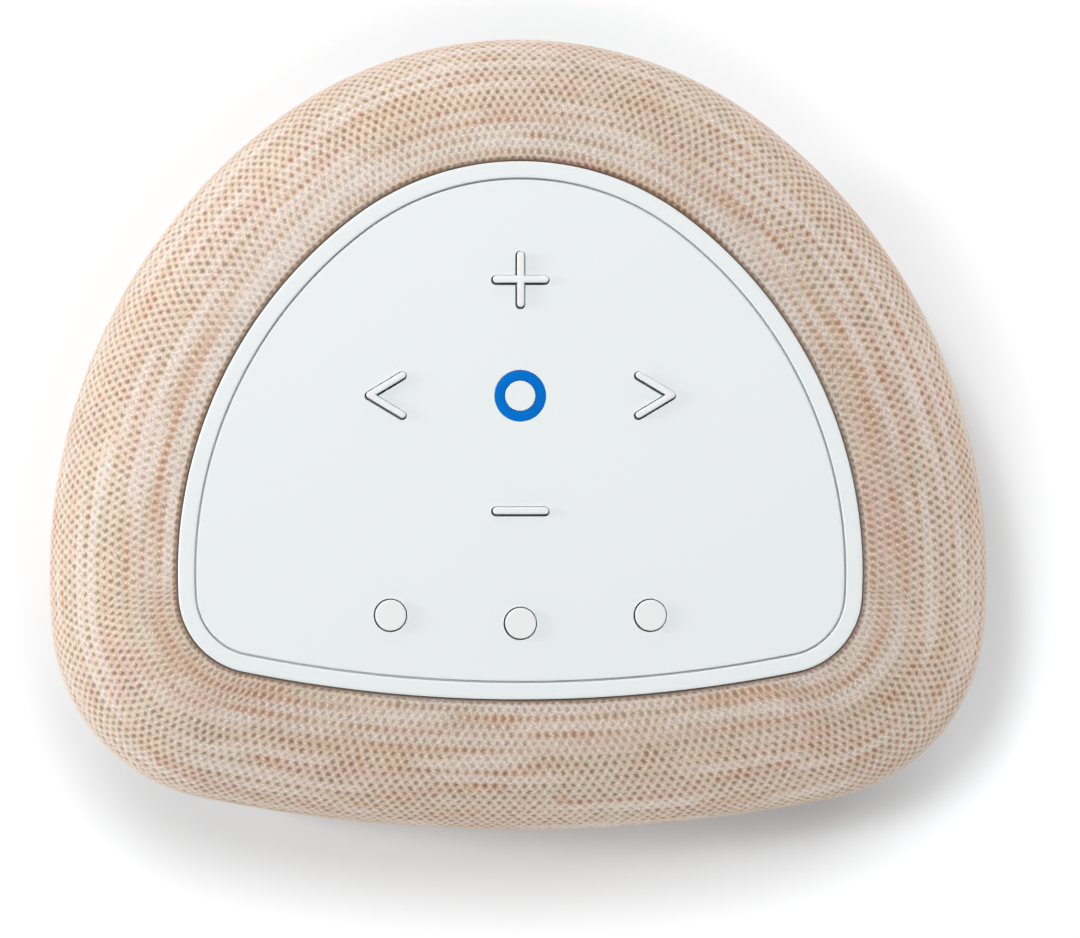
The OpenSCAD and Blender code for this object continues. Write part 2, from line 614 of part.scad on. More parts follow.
module roll(z, at, r, t) rotate_extrude() translate([at, z]) difference() {
    circle(r);
    circle(r - t);
    translate([-r - 1, -2 * r - 1]) square([2 * r + 2, 2 * r + 1]);
}
module woofer_surround() color([0.09, 0.09, 0.09]) facing(-90, woofer_z) {
    roll(flange_top, roll_at, roll_r, 0.5);
    pipe(flange_top, flange_top + 0.5, woofer_mouth + 1.5, woofer_mouth - 0.3);
    pipe(flange_top, flange_top + 0.5, cone_rim + 0.3, cone_rim - 1.8);
}

module woofer_spider() color([0.78, 0.62, 0.35]) facing(-90, woofer_z) rotate_extrude() {
    wave = [for (i = [0:16]) [spider_in + i * spider_step, spider_z + spider_wave * (1 - cos(i * 90)) / 2]];
    under = concat([[coil_r + 0.9, spider_z]], wave, [[shelf_r - 1.5, spider_z]]);
    polygon(concat(under, [for (i = [len(under) - 1:-1:0]) under[i] + [0, spider_t]]));
}

/* Tweeters */
tweeter_screw_at = tweeter_r - 2.4;
module at_tweeter(side) facing(side > 0 ? tweeter_turn : 180 - tweeter_turn, tweeter_z) children();
module tweeter_plate(side) color([0.30, 0.30, 0.31]) at_tweeter(side) difference() {
    pipe(seat_h, seat_h + 2.5, tweeter_r, 9.6);
    for (a = corners) rotate(a) translate([tweeter_screw_at, 0, 0]) cylinder_from(0, 9, screw_r + screw_fit);
}
dome_r = 11.5;
dome_t = 0.5;
dome_turn = 45;
dome_rim_r = 9.4;
module tweeter_dome(side) color([0.12, 0.12, 0.12]) at_tweeter(side) rotate_extrude() {
    rim_z = seat_h - 0.3;
    outer_z = rim_z - dome_r * cos(dome_turn);
    inner_z = rim_z - dome_t - (dome_r - dome_t) * cos(dome_turn);
    polygon(concat([[dome_rim_r, rim_z - dome_t], [dome_rim_r, rim_z]],
        [for (a = [dome_turn:-7.5:0]) [dome_r * sin(a), outer_z + dome_r * cos(a)]],
        [for (a = [0:7.5:dome_turn]) [(dome_r - dome_t) * sin(a), inner_z + (dome_r - dome_t) * cos(a)]]));
}
module tweeter_magnet(side) color([0.20, 0.20, 0.21]) at_tweeter(side) {
    cylinder_from(-12, seat_h - 1.8, 12);
    pipe(seat_h - 1.8, seat_h, 12, 9.6);
}
module left_tweeter_plate() tweeter_plate(-1);
module left_tweeter_dome() tweeter_dome(-1);
module left_tweeter_magnet() tweeter_magnet(-1);
module right_tweeter_plate() tweeter_plate(1);
module right_tweeter_dome() tweeter_dome(1);
module right_tweeter_magnet() tweeter_magnet(1);

/* Passive radiator */
radiator_top = radiator_seat + 2.5;
radiator_mouth = 24;
radiator_screw_at = radiator_r - 2.2;
module radiator_frame() color([0.30, 0.30, 0.31]) facing(90, radiator_z) difference() {
    pipe(radiator_seat, radiator_top, radiator_r, radiator_mouth);
    for (a = corners) rotate(a) translate([radiator_screw_at, 0, 0]) cylinder_from(0, 9, screw_r + screw_fit);
}
module radiator_surround() color([0.09, 0.09, 0.09]) facing(90, radiator_z) {
    roll(radiator_top, radiator_mouth - 2.5, 2.5, 0.5);
    pipe(radiator_top, radiator_top + 0.5, radiator_mouth + 1.5, radiator_mouth - 0.3);
    pipe(radiator_top, radiator_top + 0.5, radiator_mouth - 4.7, radiator_mouth - 6.6);
}
module radiator_plate() color([0.25, 0.25, 0.26]) facing(90, radiator_z) {
    cylinder_from(radiator_top - 2, radiator_top, radiator_mouth - 5);
    cylinder_from(radiator_top - 5, radiator_top - 2, 10);
}

/* Electronics over the lid */
main_z = lid_top + lid_post_h;
main_top = main_z + board_t;
module main_board() color([0.05, 0.30, 0.16]) difference() {
    block([-main_w / 2, main_w / 2], [main_y - main_d / 2, main_y + main_d / 2], [main_z, main_top]);
    for (p = lid_post_points) post(p, main_z - 1, main_top + 1, 1.2);
}
sink_w = 28;
sink_d = 30;
sink_h = 5.5;
fin_t = 1.6;
fins = 7;
module heat_sink() color([0.66, 0.67, 0.69]) translate([on_board(0.24, -0.4).x, on_board(0.24, -0.4).y, 0]) {
    block([0, sink_w], [0, sink_d], [main_top, main_top + 1.5]);
    for (k = [0:fins - 1]) let (x = k * (sink_w - fin_t) / (fins - 1))
        block([x, x + fin_t], [0, sink_d], [main_top, main_top + sink_h]);
}
capacitor_r = 3.2;
module capacitors() color([0.15, 0.17, 0.30]) for (k = [0:3])
    post(on_board(-0.76, 0.72) + [9 * k, 0], main_top, main_top + 5.6, capacitor_r);
module_size = [20, 28, 2.4];
module wireless_module() color([0.72, 0.73, 0.75])
    translate([on_board(-0.8, -0.44).x, on_board(-0.8, -0.44).y, main_top]) cube(module_size);
module ribbon_cable() color([0.85, 0.85, 0.83])
    block([-ribbon_w / 2, ribbon_w / 2], [ribbon_y - ribbon_t / 2, ribbon_y + ribbon_t / 2],
        [main_top, board_z]);

/* Battery in the base */
floor_z = foot_h + base_t;
cell_pitch = 2 * cell_r + 1.1;
holder_w = 4 * cell_pitch + 3;
holder_d = cell_l + 6;
cell_z = floor_z + 2 + cell_r + rest_gap;
module battery_holder() color([0.12, 0.12, 0.13]) {
    block([-holder_w / 2, holder_w / 2], [-holder_d / 2, holder_d / 2], [floor_z, floor_z + 2]);
    for (s = [-1, 1]) {
        translate([s * (holder_w / 2 - 0.75), 0, 0])
            block([-0.75, 0.75], [-holder_d / 2, holder_d / 2], [floor_z, cell_z + 1]);
        translate([0, s * (holder_d / 2 - 1.25), 0])
            block([-holder_w / 2, holder_w / 2], [-1.25, 1.25], [floor_z, cell_z + 3]);
    }
}
module battery_cells() color([0.20, 0.45, 0.30]) for (k = [-1.5:1:1.5])
    translate([k * cell_pitch, 0, cell_z]) rotate([90, 0, 0]) translate([0, 0, -cell_l / 2])
        cylinder(h = cell_l, r = cell_r);
battery_board_w = 52;
battery_board_y = -holder_d / 2 - 2;
battery_board_d = 0.6 * (body_d / 2 - base_inset - base_wall - 3 + battery_board_y);
module battery_board() color([0.05, 0.30, 0.16])
    block([-battery_board_w / 2, battery_board_w / 2], [battery_board_y - battery_board_d, battery_board_y],
        [floor_z, floor_z + board_t]);

/* Sockets at the back */
port_face = 12.3;
port_low = 14;
port_top = 33;
port_half = 19.8;
port_plate_t = 2.5;
port_wall = 1.6;
port_y = belt_face(port_face);
function belt_face(inset) = edge(belt, 90, inset).y;
usb_at = [-9, 0];
aux_at = [9, 0];
port_floor = port_low + port_wall;
port_board_top = port_floor + board_t;
module port_band(inset, from, to, half) intersection() {
    slab(from, to) hoop(belt, inset, cabinet_inset - 0.5);
    block([-half, half], [0, body_d], [from, to]);
}
module port_housing() color([0.12, 0.12, 0.13]) difference() {
    union() {
        port_band(port_face, port_low, port_top, port_half);
        for (s = [-1, 1]) translate([s * 15, 0, 0])
            block([-2, 2], [belt_face(24), belt_face(21)], [frame_seat_z + frame_flange_t, port_low]);
    }
    difference() {
        block([-port_half + port_wall, port_half - port_wall], [0, body_d],
            [port_floor, port_top - port_wall]);
        slab(port_low, port_top) hoop(belt, 0, port_face + port_plate_t);
    }
    block([usb_at.x - 4.8, usb_at.x + 4.8], [0, body_d], [port_board_top - 0.1, port_board_top + 3.5]);
    translate([aux_at.x, port_y - 10, socket_z]) rotate([-90, 0, 0]) cylinder(h = 30, r = 4.1);
}
port_board_d = 19.7;
port_board_y = port_y - port_plate_t - 2;
module port_board() color([0.05, 0.30, 0.16])
    block([-port_half + 2.8, port_half - 2.8], [port_board_y - port_board_d, port_board_y],
        [port_floor, port_board_top]);
socket_y = port_y - port_plate_t - 1;
module usb_socket() color([0.75, 0.76, 0.78]) difference() {
    block([usb_at.x - 4.5, usb_at.x + 4.5], [socket_y - 7.5, socket_y + 1.2],
        [port_board_top, port_board_top + 3.3]);
    difference() {
        block([usb_at.x - 4.1, usb_at.x + 4.1], [socket_y - 6.5, socket_y + 2],
            [port_board_top + 0.4, port_board_top + 2.9]);
        block([usb_at.x - 3.3, usb_at.x + 3.3], [socket_y - 7, socket_y + 0.6],
            [port_board_top + 1.3, port_board_top + 2]);
    }
}
aux_nose = port_y - 0.9;
module aux_socket() color([0.10, 0.10, 0.10]) difference() {
    union() {
        block([aux_at.x - 4, aux_at.x + 4], [aux_nose - aux_depth - 2, socket_y - 0.4],
            [port_board_top, 2 * socket_z - port_board_top]);
        translate([aux_at.x, socket_y - 1, socket_z]) rotate([-90, 0, 0])
            cylinder(h = aux_nose - socket_y + 1, r = 3.8);
    }
    translate([aux_at.x, aux_nose - aux_depth, socket_z]) rotate([-90, 0, 0])
        cylinder(h = aux_depth + 5, r = aux_r);
}

/* Screws */
module screw(from, seat, head_r, head_h) {
    cylinder_from(from, seat + 0.01, screw_r);
    cylinder_from(seat, seat + head_h, head_r);
}
module lid_screws() color([0.60, 0.61, 0.63]) for (p = lid_points) translate([p.x, p.y, 0])
    screw(cabinet_top - 9, lid_top, head_r, 1.8);
module base_screws() color([0.60, 0.61, 0.63]) for (p = base_posts) translate([p.x, p.y, 0]) {
    cylinder_from(foot_h + 0.2, foot_h + head_seat, head_r);
    cylinder_from(foot_h + 2, cabinet_z + boss_h - 3, screw_r);
}
module driver_screws() color([0.60, 0.61, 0.63]) {
    facing(-90, woofer_z) for (a = corners) rotate(a) translate([woofer_screw_at, 0, 0])
        screw(-2.5, flange_top, 2.1, 1.4);
    for (side = [-1, 1]) at_tweeter(side) for (a = corners) rotate(a) translate([tweeter_screw_at, 0, 0])
        screw(-1.5, seat_h + 2.5, 2.1, 1.2);
    facing(90, radiator_z) for (a = corners) rotate(a) translate([radiator_screw_at, 0, 0])
        screw(-5.5, radiator_top, 1.9, 1.2);
}

fabric_cover();
grille_frame();
base_plate();
foot_ring();
panel_bezel();
control_plate();
light_ring();
volume_up_key();
volume_down_key();
previous_key();
next_key();
play_key();
left_round_key();
middle_round_key();
right_round_key();
key_mat();
control_board();
tact_switches();
ring_leds();
panel_carrier();
cabinet();
cabinet_lid();
lid_gasket();
woofer_gasket();
woofer_basket();
woofer_yoke();
woofer_ring_magnet();
woofer_top_plate();
woofer_cone();
woofer_dust_cap();
woofer_voice_coil();
woofer_surround();
woofer_spider();
left_tweeter_plate();
left_tweeter_dome();
left_tweeter_magnet();
right_tweeter_plate();
right_tweeter_dome();
right_tweeter_magnet();
radiator_frame();
radiator_surround();
radiator_plate();
main_board();
heat_sink();
capacitors();
wireless_module();
battery_holder();
battery_cells();
battery_board();
port_housing();
port_board();
usb_socket();
aux_socket();
ribbon_cable();
lid_screws();
driver_screws();
base_screws();
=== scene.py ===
"""A knit-covered wireless speaker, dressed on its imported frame. Every length is in metres."""

import math

import bmesh
import bpy
import numpy as np
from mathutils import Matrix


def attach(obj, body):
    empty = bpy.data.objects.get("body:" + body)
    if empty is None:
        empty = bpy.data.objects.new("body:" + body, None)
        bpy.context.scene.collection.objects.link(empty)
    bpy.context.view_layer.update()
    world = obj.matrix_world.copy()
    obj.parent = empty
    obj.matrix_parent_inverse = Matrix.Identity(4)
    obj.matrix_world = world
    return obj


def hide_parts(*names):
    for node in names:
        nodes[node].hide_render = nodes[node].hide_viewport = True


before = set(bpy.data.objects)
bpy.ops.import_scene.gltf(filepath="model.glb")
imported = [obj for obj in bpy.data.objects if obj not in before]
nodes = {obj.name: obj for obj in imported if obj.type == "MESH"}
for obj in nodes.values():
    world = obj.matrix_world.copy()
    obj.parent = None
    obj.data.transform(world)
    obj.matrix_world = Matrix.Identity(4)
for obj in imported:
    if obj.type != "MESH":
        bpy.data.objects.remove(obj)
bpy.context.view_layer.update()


# Base plate and port housing.
# Black moulded plastic with a fine spark-eroded grain. The plate is screwed up into the cabinet from below,
# and the housing is clipped into the grille frame behind the window in the cover.
MM = 0.001


class Signal:
    """An output socket of a finish. Arithmetic on it adds Math nodes."""

    def __init__(self, finish, socket):
        self.finish = finish
        self.socket = socket

    def apply(self, operation, *values):
        return self.finish.node("Math", {"operation": operation}, dict(enumerate(values)))

    def __add__(self, other):
        return self.apply("ADD", self, other)

    def __radd__(self, other):
        return self.apply("ADD", other, self)

    def __sub__(self, other):
        return self.apply("SUBTRACT", self, other)

    def __rsub__(self, other):
        return self.apply("SUBTRACT", other, self)

    def __mul__(self, other):
        return self.apply("MULTIPLY", self, other)

    def __rmul__(self, other):
        return self.apply("MULTIPLY", other, self)

    def __abs__(self):
        return self.apply("ABSOLUTE", self)

    def cosine(self):
        return self.apply("COSINE", self)

    def floor(self):
        return self.apply("FLOOR", self)

    def wrapped(self, period):
        return self.apply("FLOORED_MODULO", self, period)

    def above(self, other):
        """The larger of the two."""
        return self.apply("MAXIMUM", self, other)

    def wave(self):
        """A cosine with its crests at the whole numbers."""
        return (self * (2 * math.pi)).cosine()

    def axis(self, name):
        """One component of a vector."""
        return self.finish.node("SeparateXYZ", {}, {0: self}, name)

    def ramp(self, low, high):
        """0 below low and 1 above high, eased between them. high may be the lower one."""
        return self.finish.node(
            "MapRange", {"interpolation_type": "SMOOTHSTEP"},
            {"Value": self, "From Min": low, "From Max": high})


class Finish:
    """A new material with one Principled shader."""

    def __init__(self, name, colour, roughness, **constants):
        self.material = bpy.data.materials.new(name)
        self.material.use_nodes = True
        self.tree = self.material.node_tree
        self.shader = self.tree.nodes["Principled BSDF"]
        self.set("Base Color", (*colour, 1))
        self.set("Roughness", roughness)
        for socket, value in constants.items():
            self.set(socket.replace("_", " "), value)

    def set(self, socket, value):
        self.plug(self.shader.inputs[socket], value)

    def plug(self, socket, value):
        if isinstance(value, Signal):
            self.tree.links.new(value.socket, socket)
        else:
            socket.default_value = value

    def node(self, kind, settings=None, inputs=None, output=0):
        """Adds a node of any kind and gives one of its outputs."""
        made = self.tree.nodes.new("ShaderNode" + kind)
        for name, value in (settings or {}).items():
            setattr(made, name, value)
        for name, value in (inputs or {}).items():
            self.plug(made.inputs[name], value)
        return Signal(self, made.outputs[output])

    def mix(self, share, first, second, blend="MIX"):
        """Colour that goes from first to second, or to their product, as share goes from 0 to 1."""
        first, second = (c if isinstance(c, Signal) else (*c, 1) for c in (first, second))
        return self.node(
            "Mix", {"data_type": "RGBA", "blend_type": blend}, {0: share, 6: first, 7: second}, 2)

    def place(self, size=1.0):
        """The point on the piece, divided by one size or by a size along each axis."""
        sizes = size if isinstance(size, tuple) else (size, size, size)
        return self.node(
            "VectorMath", {"operation": "DIVIDE"}, {0: self.node("TexCoord", {}, {}, "Object"), 1: sizes})

    def noise(self, where, scale, detail=2.0, rough=0.5):
        return self.node(
            "TexNoise", {}, {"Vector": where, "Scale": scale, "Detail": detail, "Roughness": rough})

    def bump(self, height, depth, strength=1.0):
        """Relief from a height of 0 to 1 that is depth metres deep."""
        self.set("Normal", self.node("Bump", {}, {"Height": height, "Distance": depth, "Strength": strength}))


def srgb(red, green, blue):
    """A colour written as 0 to 255 display values, as the shader's light values."""
    return tuple(
        c / 3294.6 if c <= 10 else ((c / 255 + 0.055) / 1.055) ** 2.4 for c in (red, green, blue))


def moulded(name, colour, roughness, grain, depth):
    """Moulded plastic or rubber: an even eroded grain with a faint flow shade."""
    finish = Finish(name, colour, roughness)
    flow = finish.noise(finish.place(), 35.0)
    pits = finish.noise(finish.place(grain), 1.0)
    dark = tuple(0.90 * c for c in colour)
    light = tuple(min(1.0, 1.06 * c) for c in colour)
    finish.set("Base Color", finish.mix(0.6 * flow + 0.4 * pits, dark, light))
    finish.set("Roughness", roughness - 0.06 + 0.12 * flow)
    finish.bump(pits, depth)
    return finish


def dress(finish, *names):
    """Gives CAD nodes their finish."""
    for name in names:
        for slot in nodes[name].material_slots:
            slot.material = finish.material


black_plastic = moulded("black_moulded_plastic", srgb(42, 42, 44), 0.55, 0.35 * MM, 0.04 * MM)
dress(black_plastic, "base_plate", "port_housing")


# Foot ring.
# Soft dark rubber, set into a groove under the base plate. Its lower face is finely ribbed for grip.
foot_rubber = Finish("foot_rubber", srgb(30, 30, 31), 0.8)
ribs = foot_rubber.place(1.2 * MM).axis("X").wave() * 0.5 + 0.5
dust = foot_rubber.noise(foot_rubber.place(), 300.0)
foot_rubber.set("Base Color", foot_rubber.mix(dust, srgb(24, 24, 25), srgb(44, 43, 42)))
foot_rubber.set("Roughness", 0.72 + 0.15 * dust)
foot_rubber.bump(0.8 * ribs + 0.2 * dust, 0.1 * MM)
dress(foot_rubber, "foot_ring")


# Screws.
# Zinc-plated steel, driven from below through the base plate and from above into the bosses inside.
def brushed(name, colour, roughness):
    """Metal with fine scratches and a little cloudiness."""
    scratch_w, scratch_l = 0.4 * MM, 8 * MM
    finish = Finish(name, colour, roughness, Metallic=1.0)
    lines = finish.noise(finish.place((scratch_w, scratch_w, scratch_l)), 1.0, 3.0)
    cloud = finish.noise(finish.place(), 120.0)
    finish.set("Base Color", finish.mix(cloud, tuple(0.85 * c for c in colour), colour))
    finish.set("Roughness", roughness + 0.15 * lines)
    finish.bump(lines, 0.008 * MM)
    return finish


zinc = brushed("zinc_plated_steel", srgb(196, 198, 203), 0.28)
dress(zinc, "base_screws", "lid_screws", "driver_screws")


# Battery.
# Four cells in printed shrink sleeves, side by side in a moulded tray on the base plate's floor, with their
# charging board beside them.
sleeve = Finish("battery_sleeve", srgb(64, 120, 88), 0.35, Coat_Weight=0.3)
wrinkle = sleeve.noise(sleeve.place((4 * MM, 20 * MM, 4 * MM)), 1.0)
sleeve.set("Base Color", sleeve.mix(wrinkle, srgb(56, 108, 78), srgb(74, 134, 98)))
sleeve.bump(wrinkle, 0.05 * MM)
dress(sleeve, "battery_cells")
dress(black_plastic, "battery_holder")


def board(name, light, dark):
    """Circuit board under solder mask, with tracks as thin paler lines."""
    finish = Finish(name, light, 0.35, Coat_Weight=0.2)
    grid = finish.place(3.2 * MM).axis("X")
    bend = finish.noise(finish.place(), 90.0)
    tracks = (grid + 3.0 * bend).wave().ramp(0.75, 0.95)
    weave = finish.noise(finish.place(), 900.0)
    finish.set("Base Color", finish.mix(0.75 * tracks + 0.15 * weave, dark, light))
    finish.bump(tracks, 0.03 * MM)
    return finish


green_board = board("green_circuit_board", srgb(58, 134, 84), srgb(18, 84, 50))
dress(green_board, "battery_board", "port_board", "main_board", "control_board")


# Cabinet, lid and gasket.
# Glass-filled black plastic box that holds the drivers airtight, closed by its lid over a foam gasket.
cabinet_plastic = moulded("cabinet_plastic", srgb(62, 62, 64), 0.6, 0.8 * MM, 0.05 * MM)
dress(cabinet_plastic, "cabinet", "cabinet_lid")
foam = Finish("gasket_foam", srgb(34, 34, 35), 0.95)
cells = foam.node("TexVoronoi", {}, {"Vector": foam.place(), "Scale": 1800.0})
foam.set("Base Color", foam.mix(cells, srgb(22, 22, 23), srgb(52, 52, 53)))
foam.bump(cells, 0.1 * MM)
dress(foam, "lid_gasket", "woofer_gasket")


# Woofer.
# Pressed steel basket and plates round a sintered magnet, with a pulp cone, a rubber roll and a resin-dipped
# cloth spider. The cone, its cap and the copper coil move together.
painted_steel = brushed("black_painted_steel", srgb(78, 78, 80), 0.45)
plate_steel = brushed("plated_steel", srgb(186, 188, 192), 0.3)
dress(painted_steel, "woofer_basket", "radiator_frame", "left_tweeter_plate", "right_tweeter_plate")
dress(plate_steel, "woofer_yoke", "woofer_top_plate")
ferrite = moulded("sintered_magnet", srgb(58, 58, 60), 0.7, 0.5 * MM, 0.03 * MM)
dress(ferrite, "woofer_ring_magnet", "left_tweeter_magnet", "right_tweeter_magnet")
pulp = Finish("pulp_cone", srgb(40, 40, 42), 0.85)
fibres = pulp.noise(pulp.place((0.4 * MM, 0.4 * MM, 1.5 * MM)), 1.0, 4.0, 0.7)
pulp.set("Base Color", pulp.mix(fibres, srgb(28, 28, 30), srgb(62, 61, 60)))
pulp.bump(fibres, 0.08 * MM)
dress(pulp, "woofer_cone", "woofer_dust_cap")
roll_rubber = moulded("roll_rubber", srgb(34, 34, 35), 0.6, 0.6 * MM, 0.03 * MM)
dress(roll_rubber, "woofer_surround", "radiator_surround")
copper = brushed("enamelled_copper", srgb(198, 122, 72), 0.3)
dress(copper, "woofer_voice_coil")
spider_cloth = Finish("resin_dipped_cloth", srgb(196, 164, 104), 0.75)
cloth_at = spider_cloth.place(0.5 * MM)
open_weave = cloth_at.axis("X").wave() * cloth_at.axis("Z").wave() * 0.5 + 0.5
spider_cloth.set("Base Color", spider_cloth.mix(open_weave, srgb(150, 118, 66), srgb(214, 184, 126)))
spider_cloth.bump(open_weave, 0.08 * MM)
dress(spider_cloth, "woofer_spider")


# Tweeters and passive radiator.
# Coated silk domes behind steel face plates, and a weighted plate on a rubber roll in the cabinet's back.
silk = Finish("coated_silk", srgb(40, 40, 41), 0.6)
silk_weave = silk.noise(silk.place(), 2600.0)
silk.set("Base Color", silk.mix(silk_weave, srgb(28, 28, 29), srgb(54, 54, 55)))
silk.bump(silk_weave, 0.03 * MM)
dress(silk, "left_tweeter_dome", "right_tweeter_dome")
dress(cabinet_plastic, "radiator_plate")


# Electronics.
# Amplifier board on the cabinet's lid with a finned aluminium sink, capacitors and a shielded radio module,
# joined to the keys by a flat ribbon. Under the keys lie a rubber mat, the switches and the ring's lamps.
aluminium = brushed("extruded_aluminium", srgb(188, 190, 194), 0.35)
dress(aluminium, "heat_sink")
shield = brushed("tinned_shield", srgb(206, 207, 209), 0.25)
dress(shield, "wireless_module", "usb_socket")
can_sleeve = moulded("capacitor_sleeve", srgb(48, 54, 92), 0.35, 0.6 * MM, 0.02 * MM)
dress(can_sleeve, "capacitors")
ribbon = Finish("ribbon_cable", srgb(214, 214, 208), 0.5)
grooves = ribbon.place(1 * MM).axis("X").wave() * 0.5 + 0.5
ribbon.set("Base Color", ribbon.mix(grooves, srgb(176, 176, 170), srgb(226, 226, 220)))
ribbon.bump(grooves, 0.1 * MM)
dress(ribbon, "ribbon_cable")
socket_plastic = moulded("socket_plastic", srgb(28, 28, 29), 0.4, 0.3 * MM, 0.01 * MM)
dress(socket_plastic, "aux_socket", "tact_switches")
lens = moulded("light_lens", srgb(238, 238, 226), 0.3, 0.3 * MM, 0.01 * MM)
dress(lens, "ring_leds")
mat_rubber = moulded("mat_rubber", srgb(196, 198, 198), 0.65, 0.5 * MM, 0.02 * MM)
dress(mat_rubber, "key_mat")


# Grille frame and panel carrier.
# Dark moulded frame, perforated in rows all round, that the cover is stretched over. The carrier drops into
# its top ring and holds the key board.
frame_plastic = moulded("frame_plastic", srgb(46, 46, 48), 0.6, 0.4 * MM, 0.04 * MM)
dress(frame_plastic, "grille_frame", "panel_carrier")


# Knitted cover.
# One sleeve of heathered knit, stretched over the grille frame and tucked in at the panel, at the base and
# round the port window. Holes lie in staggered rows that run round the body.

# Directions, in degrees, in which the back arc and the corner arc of each outline end.
BACK_TURN = 53.0
FRONT_TURN = -78.5


def chain(width, depth, back_r, corner_r, shift):
    """The back, side, corner and front arcs of the right half of an outline, as (x, y, radius, end turn)."""
    back_turn = math.radians(BACK_TURN)
    front_turn = math.radians(FRONT_TURN)
    side_r = (width / 2 - back_r * math.cos(back_turn)) / (1 - math.cos(back_turn))
    back_y = shift + depth / 2 - back_r
    side_x = (back_r - side_r) * math.cos(back_turn)
    side_y = back_y + (back_r - side_r) * math.sin(back_turn)
    lean = math.radians(45) + front_turn / 2
    drop = back_r + corner_r - depth - (side_y - back_y) + math.tan(lean) * side_x
    side_turn = lean + math.asin(drop * math.cos(lean) / (side_r - corner_r))
    corner_x = side_x + (side_r - corner_r) * math.cos(side_turn)
    corner_y = side_y + (side_r - corner_r) * math.sin(side_turn)
    front_r = corner_r + corner_x / math.cos(front_turn)
    front_y = corner_y + (corner_r - front_r) * math.sin(front_turn)
    return (
        (0.0, back_y, back_r, BACK_TURN),
        (side_x, side_y, side_r, math.degrees(side_turn)),
        (corner_x, corner_y, corner_r, FRONT_TURN),
        (0.0, front_y, front_r, -90.0))


def edge(arcs, turn, inset=0.0):
    """Points of an outline that face the given directions, moved inwards."""
    turn = (np.asarray(turn, float) + 180) % 360 - 180
    left = (turn > 90) | (turn < -90)
    own = np.where(turn > 90, 180 - turn, np.where(turn < -90, -180 - turn, turn))
    which = np.select([own >= arcs[k][3] - 1e-9 for k in range(3)], [0, 1, 2], 3)
    x, y, r, _ = (np.array(column)[which] for column in zip(*arcs))
    px = x + (r - inset) * np.cos(np.radians(own))
    py = y + (r - inset) * np.sin(np.radians(own))
    return np.stack([np.where(left, -px, px), py], -1)


body_w, body_d = 210 * MM, 177 * MM
panel_w, panel_d, panel_shift = 145 * MM, 114 * MM, 0.5 * MM
panel_back_r, panel_corner_r = 0.4 * panel_w, 0.117 * panel_w
panel_z, belt_z = 140 * MM, 104 * MM
cover_top_z, cover_low_z = 139 * MM, 8.5 * MM
tuck, cover_gap = 13 * MM, 0.5 * MM
belt = chain(body_w, body_d, 0.43 * body_w, 0.2 * body_w, 0)
panel = chain(panel_w, panel_d, panel_back_r, panel_corner_r, panel_shift)
rim = chain(
    panel_w + 2 * cover_gap, panel_d + 2 * cover_gap, panel_back_r + cover_gap, panel_corner_r + cover_gap,
    panel_shift)

# The side follows one ellipse above the belt and one below. A level is the angle along it, in degrees.
LEVEL_MAX = 80.0
LEVEL_SIN = math.sin(math.radians(LEVEL_MAX))
LEVEL_DRAW = 1 - math.cos(math.radians(LEVEL_MAX))


def reach(up):
    """Height of the side surface above or below the belt."""
    return cover_top_z - belt_z if up else belt_z - cover_low_z


def level_of(z):
    return math.degrees(math.asin((z - belt_z) * LEVEL_SIN / reach(z > belt_z)))


def skin(level, turn, depth=0.0):
    """Points of the side surface at a level of its profile, at a depth below it. Level 0 is the belt."""
    up = level >= 0
    swing = math.radians(level)
    face = np.stack([np.cos(np.radians(turn)), np.sin(np.radians(turn))], -1)
    out = edge(belt, turn)
    span = out - edge(rim, turn) if up else face * tuck
    inward = (span * face).sum(-1) * math.sin(swing) / LEVEL_DRAW
    climb = reach(up) * math.cos(swing) / LEVEL_SIN
    length = np.hypot(inward, climb)
    plan = out - span * (1 - math.cos(swing)) / LEVEL_DRAW - face * (depth * climb / length)[..., None]
    z = belt_z + reach(up) * math.sin(swing) / LEVEL_SIN - depth * inward / length
    return np.concatenate([plan, z[..., None]], -1)


def lengths_along(points):
    """Length of a line of points up to each of them."""
    return np.concatenate([[0], np.cumsum(np.linalg.norm(np.diff(points, axis=0), axis=1))])


def shares_along(points):
    """Share of a line's length at each of its points."""
    length = lengths_along(points)
    return length / length[-1]


# Each outline is sampled at these directions, once round from the back, to measure its length.
TURNS_PER_DEGREE = 20
all_turns = 90 - np.arange(360 * TURNS_PER_DEGREE + 1) / TURNS_PER_DEGREE


def spread(points, shares):
    """Directions, in [-180, 180), at the given shares of the length of an outline sampled at all_turns."""
    turns = np.interp(shares, shares_along(points), all_turns)
    return (turns + 180) % 360 - 180


def shares_of(points, wanted):
    """Shares of the length at which an outline sampled at all_turns faces the wanted directions."""
    wanted = np.where(wanted > 90, wanted - 360, wanted)
    return np.interp(-wanted, -all_turns, shares_along(points))


STITCHES = 270
ROW_PITCH = 1.95 * MM
HOLE_DEPTH = 0.28 * MM
CORNER_PULL = 0.5
columns = 2 * STITCHES
even = np.arange(columns) / columns
rim_shares = shares_of(edge(rim, all_turns), spread(edge(belt, all_turns), even))


def turns_at(level):
    """Directions of the columns at a level. They crowd together a little round the rim's corners."""
    share = (1 - math.cos(math.radians(level))) / LEVEL_DRAW if level > 0 else 0
    pull = CORNER_PULL * share
    return spread(skin(level, all_turns)[:, :2], (1 - pull) * even + pull * rim_shares)


fine_levels = np.linspace(LEVEL_MAX, -LEVEL_MAX, 1601)
profile = np.array([skin(level, np.array([0.0]))[0] for level in fine_levels])
profile_length = lengths_along(profile)
half_rows = 2 * int(round(profile_length[-1] / ROW_PITCH))
row_levels = np.interp(np.arange(half_rows + 1) / half_rows, profile_length / profile_length[-1], fine_levels)

